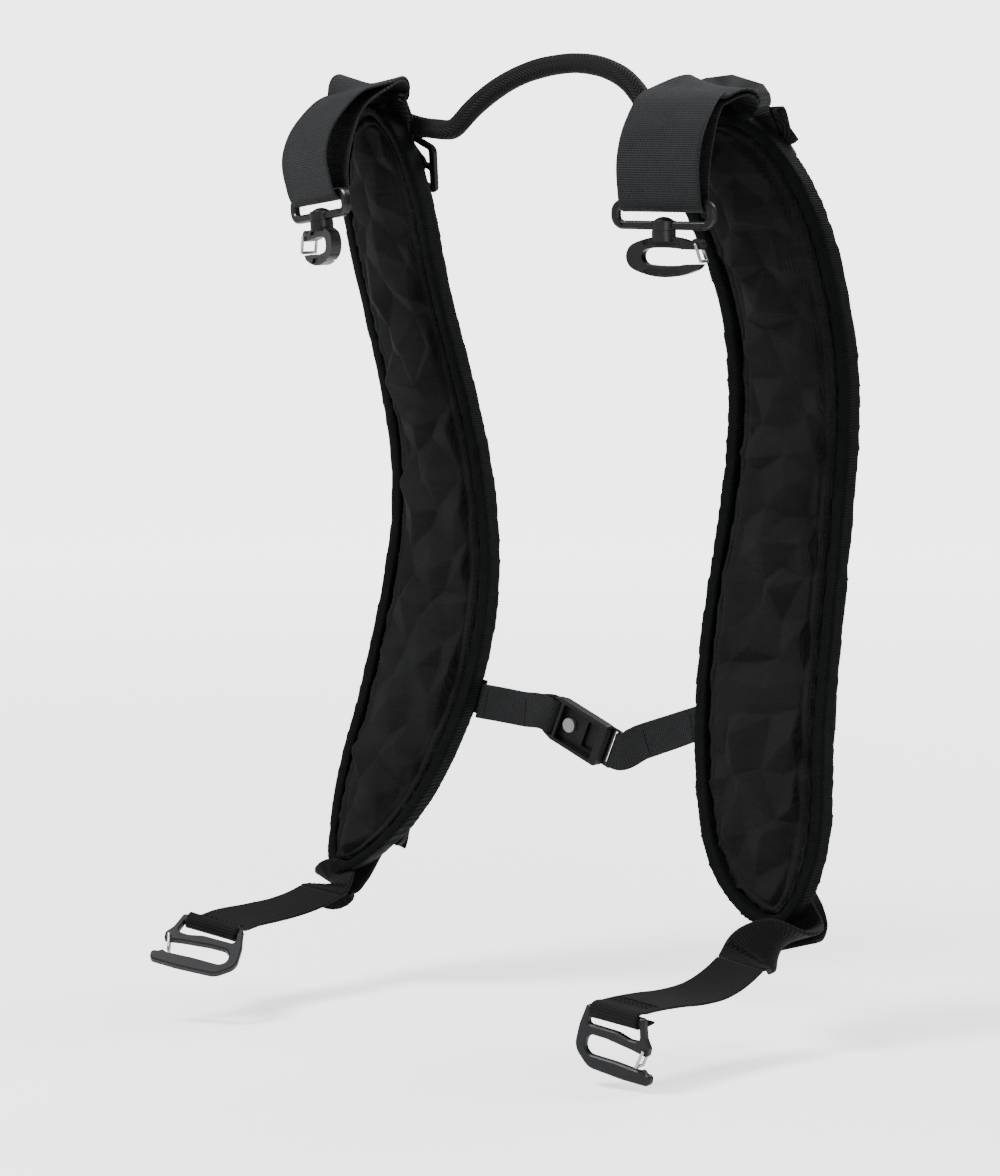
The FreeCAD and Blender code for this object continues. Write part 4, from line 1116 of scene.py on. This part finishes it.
def build_handle():
    """Rolled webbing: a round grip whose ends flatten into the tabs sewn behind the pads."""
    grip = handle_centres()
    left_tab, left_across = tab_run(PadBack("left"))
    right_tab, right_across = tab_run(PadBack("right"))
    line = np.vstack([left_tab, grip, right_tab[::-1]])
    line = resampled(line, 260, closed=False)
    for _ in range(14):
        line[1:-1] = (line[:-2] + 2 * line[1:-1] + line[2:]) / 4
    steps = np.linalg.norm(np.diff(line, axis=0), axis=1)
    distance = np.concatenate([[0], np.cumsum(steps)])
    length = distance[-1]
    along = np.gradient(line, axis=0)
    along /= np.linalg.norm(along, axis=1)[:, None]
    radius = 5.6 * MM
    flat_half, flat_thick = 10.5 * MM, 1.5 * MM
    around = 36
    flat_run = 40 * MM
    ease_run = 30 * MM
    crease_at, crease_width, crease_depth = math.radians(335), 0.16, 0.9 * MM
    vertices = []
    coords = []
    for i, (centre, way) in enumerate(zip(line, along)):
        near = min(distance[i], length - distance[i])
        roundness = float(smooth_step(np.array(near), flat_run - 10 * MM, flat_run + ease_run))
        tab_across = left_across if distance[i] < length / 2 else right_across
        if tab_across[2] > 0:
            tab_across = -tab_across
        wide = tab_across - way * np.dot(tab_across, way)
        wide /= np.linalg.norm(wide)
        deep = np.cross(way, wide)
        half_wide = flat_half + (radius - flat_half) * roundness
        half_deep = flat_thick + (radius - flat_thick) * roundness
        for k in range(around):
            turn = math.tau * k / around
            c, s = math.cos(turn), math.sin(turn)
            power = 0.55 + 0.45 * roundness
            u = math.copysign(abs(c) ** power, c) * half_wide
            v = math.copysign(abs(s) ** power, s) * half_deep
            away = (turn - crease_at + math.pi) % math.tau - math.pi
            crease = crease_depth * roundness * math.exp(-(away / crease_width) ** 2)
            puff = 0.18 * MM * noise.noise(Vector((distance[i] * 70, k * 0.5, 1)))
            scale = 1 - (crease - puff) / max(half_wide, half_deep)
            vertices.append(tuple(centre + (wide * u + deep * v) * scale))
            coords.append((turn * radius, distance[i]))
    handle = new_object("grab_handle", vertices, tube_faces(len(line), around))
    layer = handle.data.uv_layers.new(name="weave")
    for loop in handle.data.loops:
        layer.data[loop.index].uv = coords[loop.vertex_index]
    fix_normals(handle)
    nodes = ["handle_sleeve", "handle_core", "handle_tab_left", "handle_tab_right"]
    return finish_piece(handle, nodes, HANDLE_WEBBING)


def handle_material():
    """Herringbone weave of the rolled grip, its colour darker in the weave's hollows as painted shade."""
    s = Shader("handle_webbing", 0.66, sheen=0.01, specular=0.1)
    one = s.waves(s.place("UV", turn=(0, 0, math.radians(42))), 1.5 * MM, "X")
    other = s.waves(s.place("UV", turn=(0, 0, math.radians(-42))), 1.5 * MM, "X")
    bands = s.waves(s.place("UV"), 7 * MM, "X")
    choose = s.maths("GREATER_THAN", bands, 0.5)
    weave = s.maths("ADD", s.maths("MULTIPLY", one, choose),
                    s.maths("MULTIPLY", other, s.maths("SUBTRACT", 1.0, choose)))
    blotches = s.noise(s.place(), 90, 4)
    # The colour follows the weave's relief, darker in its hollows as painted shade, times random blotches of
    # tone.
    s.colour(s.maths("MULTIPLY", weave, s.maths("ADD", blotches, 0.25)), grey(6), grey(32))
    s.rough(blotches, 0.55, 0.75)
    s.bump(s.noise(s.place(), 120, 2), 0.5 * MM, 0.4)
    s.bump(weave, 0.4 * MM, 0.9)
    return s.material


HANDLE_WEBBING = handle_material()


# ---------------------------------------------------------------- hardware

def soften(node, material, width):
    """A CAD part keeps its shape and gets fine rounded edges and its material."""
    obj = NODES[node]
    obj.data.materials.clear()
    obj.data.materials.append(material)
    weld = obj.modifiers.new("weld", "WELD")
    weld.merge_threshold = 1e-6
    if width:
        bevel = obj.modifiers.new("bevel", "BEVEL")
        bevel.width = width
        bevel.segments = 3
        bevel.limit_method = "ANGLE"
        bevel.angle_limit = math.radians(28)
        bevel.harden_normals = True
    obj.data.shade_smooth()
    normals = obj.modifiers.new("normals", "WEIGHTED_NORMAL")
    normals.keep_sharp = True
    return obj


def dress_hardware():
    for side in SIDES:
        for node in ("ring", "snap_hook", "swivel_pin"):
            soften(f"{node}_{side}", COATED, 0.35 * MM)
        soften(f"g_hook_{side}", ANODISED, 0.3 * MM)
        for node in ("snap_gate", "g_gate"):
            soften(f"{node}_{side}", WIRE, 0)
        for node in ("top_slider", "ladder_lock"):
            soften(f"{node}_{side}", MOULDED, 0.4 * MM)
    soften("buckle_tray", MOULDED, 0.35 * MM)
    soften("buckle_tongue", MOULDED, 0.3 * MM)
    soften("tray_magnet", DISC, 0.2 * MM)
    soften("tongue_magnet", DISC, 0.2 * MM)


# ---------------------------------------------------------------- assembly

def build_side(side, seed):
    pad = build_pad_body(side, seed)
    build_pad_back(side)
    build_binding(side)
    rim_stitches(side, pad)
    back = PadBack(side)
    runs = (("top", top_strip(back), "top_strap", TOP_WEBBING),
            ("anchor", anchor_strip(back), "anchor_tab", LOWER_WEBBING),
            ("lower", lower_strip(side), "lower_strap", LOWER_WEBBING),
            ("adjuster", adjuster_strip(back), "adjuster_web", LOWER_WEBBING),
            ("loose", tail_strip(back), "web_tail", LOWER_WEBBING),
            ("chest", chest_anchor_strip(back), "chest_anchor", CHEST_WEBBING),
            ("sternum", sternum_strip(back), "sternum_strap", CHEST_WEBBING))
    for name, strip, node, material in runs:
        build_strap(f"{name}_webbing_{side}", strip, [f"{node}_{side}"], material)
    sew(side, runs[1][1], runs[2][1], runs[6][1])


def sew(side, tab, lower, sternum):
    """The seams on the straps."""
    tab_seams = []
    for face in (1, -1):
        tab_seams += zigzag_band(tab, tab.length - 9 * MM, 3 * MM, face)
    detail_piece(thread_rows(f"tab_seam_{side}", tab_seams), "harness", THREAD)
    roll_end = 24 * MM
    lower_seams = []
    for face in (1, -1):
        for gap in (0, 3.2 * MM):
            lower_seams += cross_row(lower, roll_end + gap + 14 * MM, face)
        lower_seams += zigzag_band(lower, roll_end + 20 * MM, 3 * MM, face)
    detail_piece(thread_rows(f"hook_seam_{side}", lower_seams), f"lower_strap_{side}", THREAD)
    chest_seams = []
    for face in (1, -1):
        chest_seams += cross_row(sternum, 5 * MM, face, 1.5 * MM, 1.6 * MM)
        chest_seams += cross_row(sternum, sternum.length * 0.42, face, 1.5 * MM, 1.6 * MM)
    detail_piece(thread_rows(f"sternum_seam_{side}", chest_seams), f"sternum_{side}", THREAD)


for side, seed in zip(SIDES, (11, 23)):
    build_side(side, seed)
build_handle()
dress_hardware()


# ---------------------------------------------------------------- stage, light and camera

def build_stage():
    reach = 6.0
    drop = 0.004
    floor_height = cad_low.z - drop
    corners = [(x * reach, y * reach, floor_height) for x, y in ((-1, -1), (1, -1), (1, 1), (-1, 1))]
    floor = new_object("floor", corners, [(0, 1, 2, 3)])
    floor.data.materials.append(floor_material())
    build_world()


def build_world():
    """Even, soft light all round; the camera sees it as a nearly white backdrop."""
    world = bpy.data.worlds.new("studio")
    world.use_nodes = True
    tree = world.node_tree
    around = tree.nodes["Background"]
    around.inputs["Color"].default_value = (0.94, 0.96, 1.0, 1)
    around.inputs["Strength"].default_value = 0.45
    backdrop = tree.nodes.new("ShaderNodeBackground")
    backdrop.inputs["Color"].default_value = (1, 1, 1, 1)
    backdrop.inputs["Strength"].default_value = 4.0
    path = tree.nodes.new("ShaderNodeLightPath")
    mix = tree.nodes.new("ShaderNodeMixShader")
    tree.links.new(path.outputs["Is Camera Ray"], mix.inputs[0])
    tree.links.new(around.outputs["Background"], mix.inputs[1])
    tree.links.new(backdrop.outputs["Background"], mix.inputs[2])
    tree.links.new(mix.outputs["Shader"], tree.nodes["World Output"].inputs["Surface"])
    bpy.context.scene.world = world


def soft_light(name, direction, distance, size, power, target):
    data = bpy.data.lights.new(name, "AREA")
    data.shape = "DISK"
    data.size = size
    data.energy = power
    light = bpy.data.objects.new(name, data)
    bpy.context.scene.collection.objects.link(light)
    way = Vector(direction).normalized()
    light.location = target + way * distance
    light.rotation_mode = "QUATERNION"
    light.rotation_quaternion = (-way).to_track_quat("-Z", "Y")


def build_lights(target):
    soft_light("key", (-0.45, -0.75, 1.25), 1.6, 0.6, 46, target)
    soft_light("fill", (0.95, -0.55, 0.25), 1.8, 1.0, 7, target)
    soft_light("rim", (0.2, 0.9, 0.9), 1.7, 0.8, 24, target)


def build_camera(target):
    """A long lens, looking a little down on the harness from the wearer's side."""
    azimuth, elevation = math.radians(38), math.radians(6.1)
    distance = 2.777
    data = bpy.data.cameras.new("camera")
    data.lens = 156.4
    data.sensor_width = 36
    camera = bpy.data.objects.new("camera", data)
    bpy.context.scene.collection.objects.link(camera)
    back = Vector((math.sin(azimuth) * math.cos(elevation), -math.cos(azimuth) * math.cos(elevation),
                   math.sin(elevation)))
    camera.location = target + back * distance
    camera.rotation_mode = "QUATERNION"
    camera.rotation_quaternion = (-back).to_track_quat("-Z", "Y")
    bpy.context.scene.camera = camera


AIM = Vector((0, -0.053, -0.283))
build_stage()
build_lights(AIM)
build_camera(AIM)
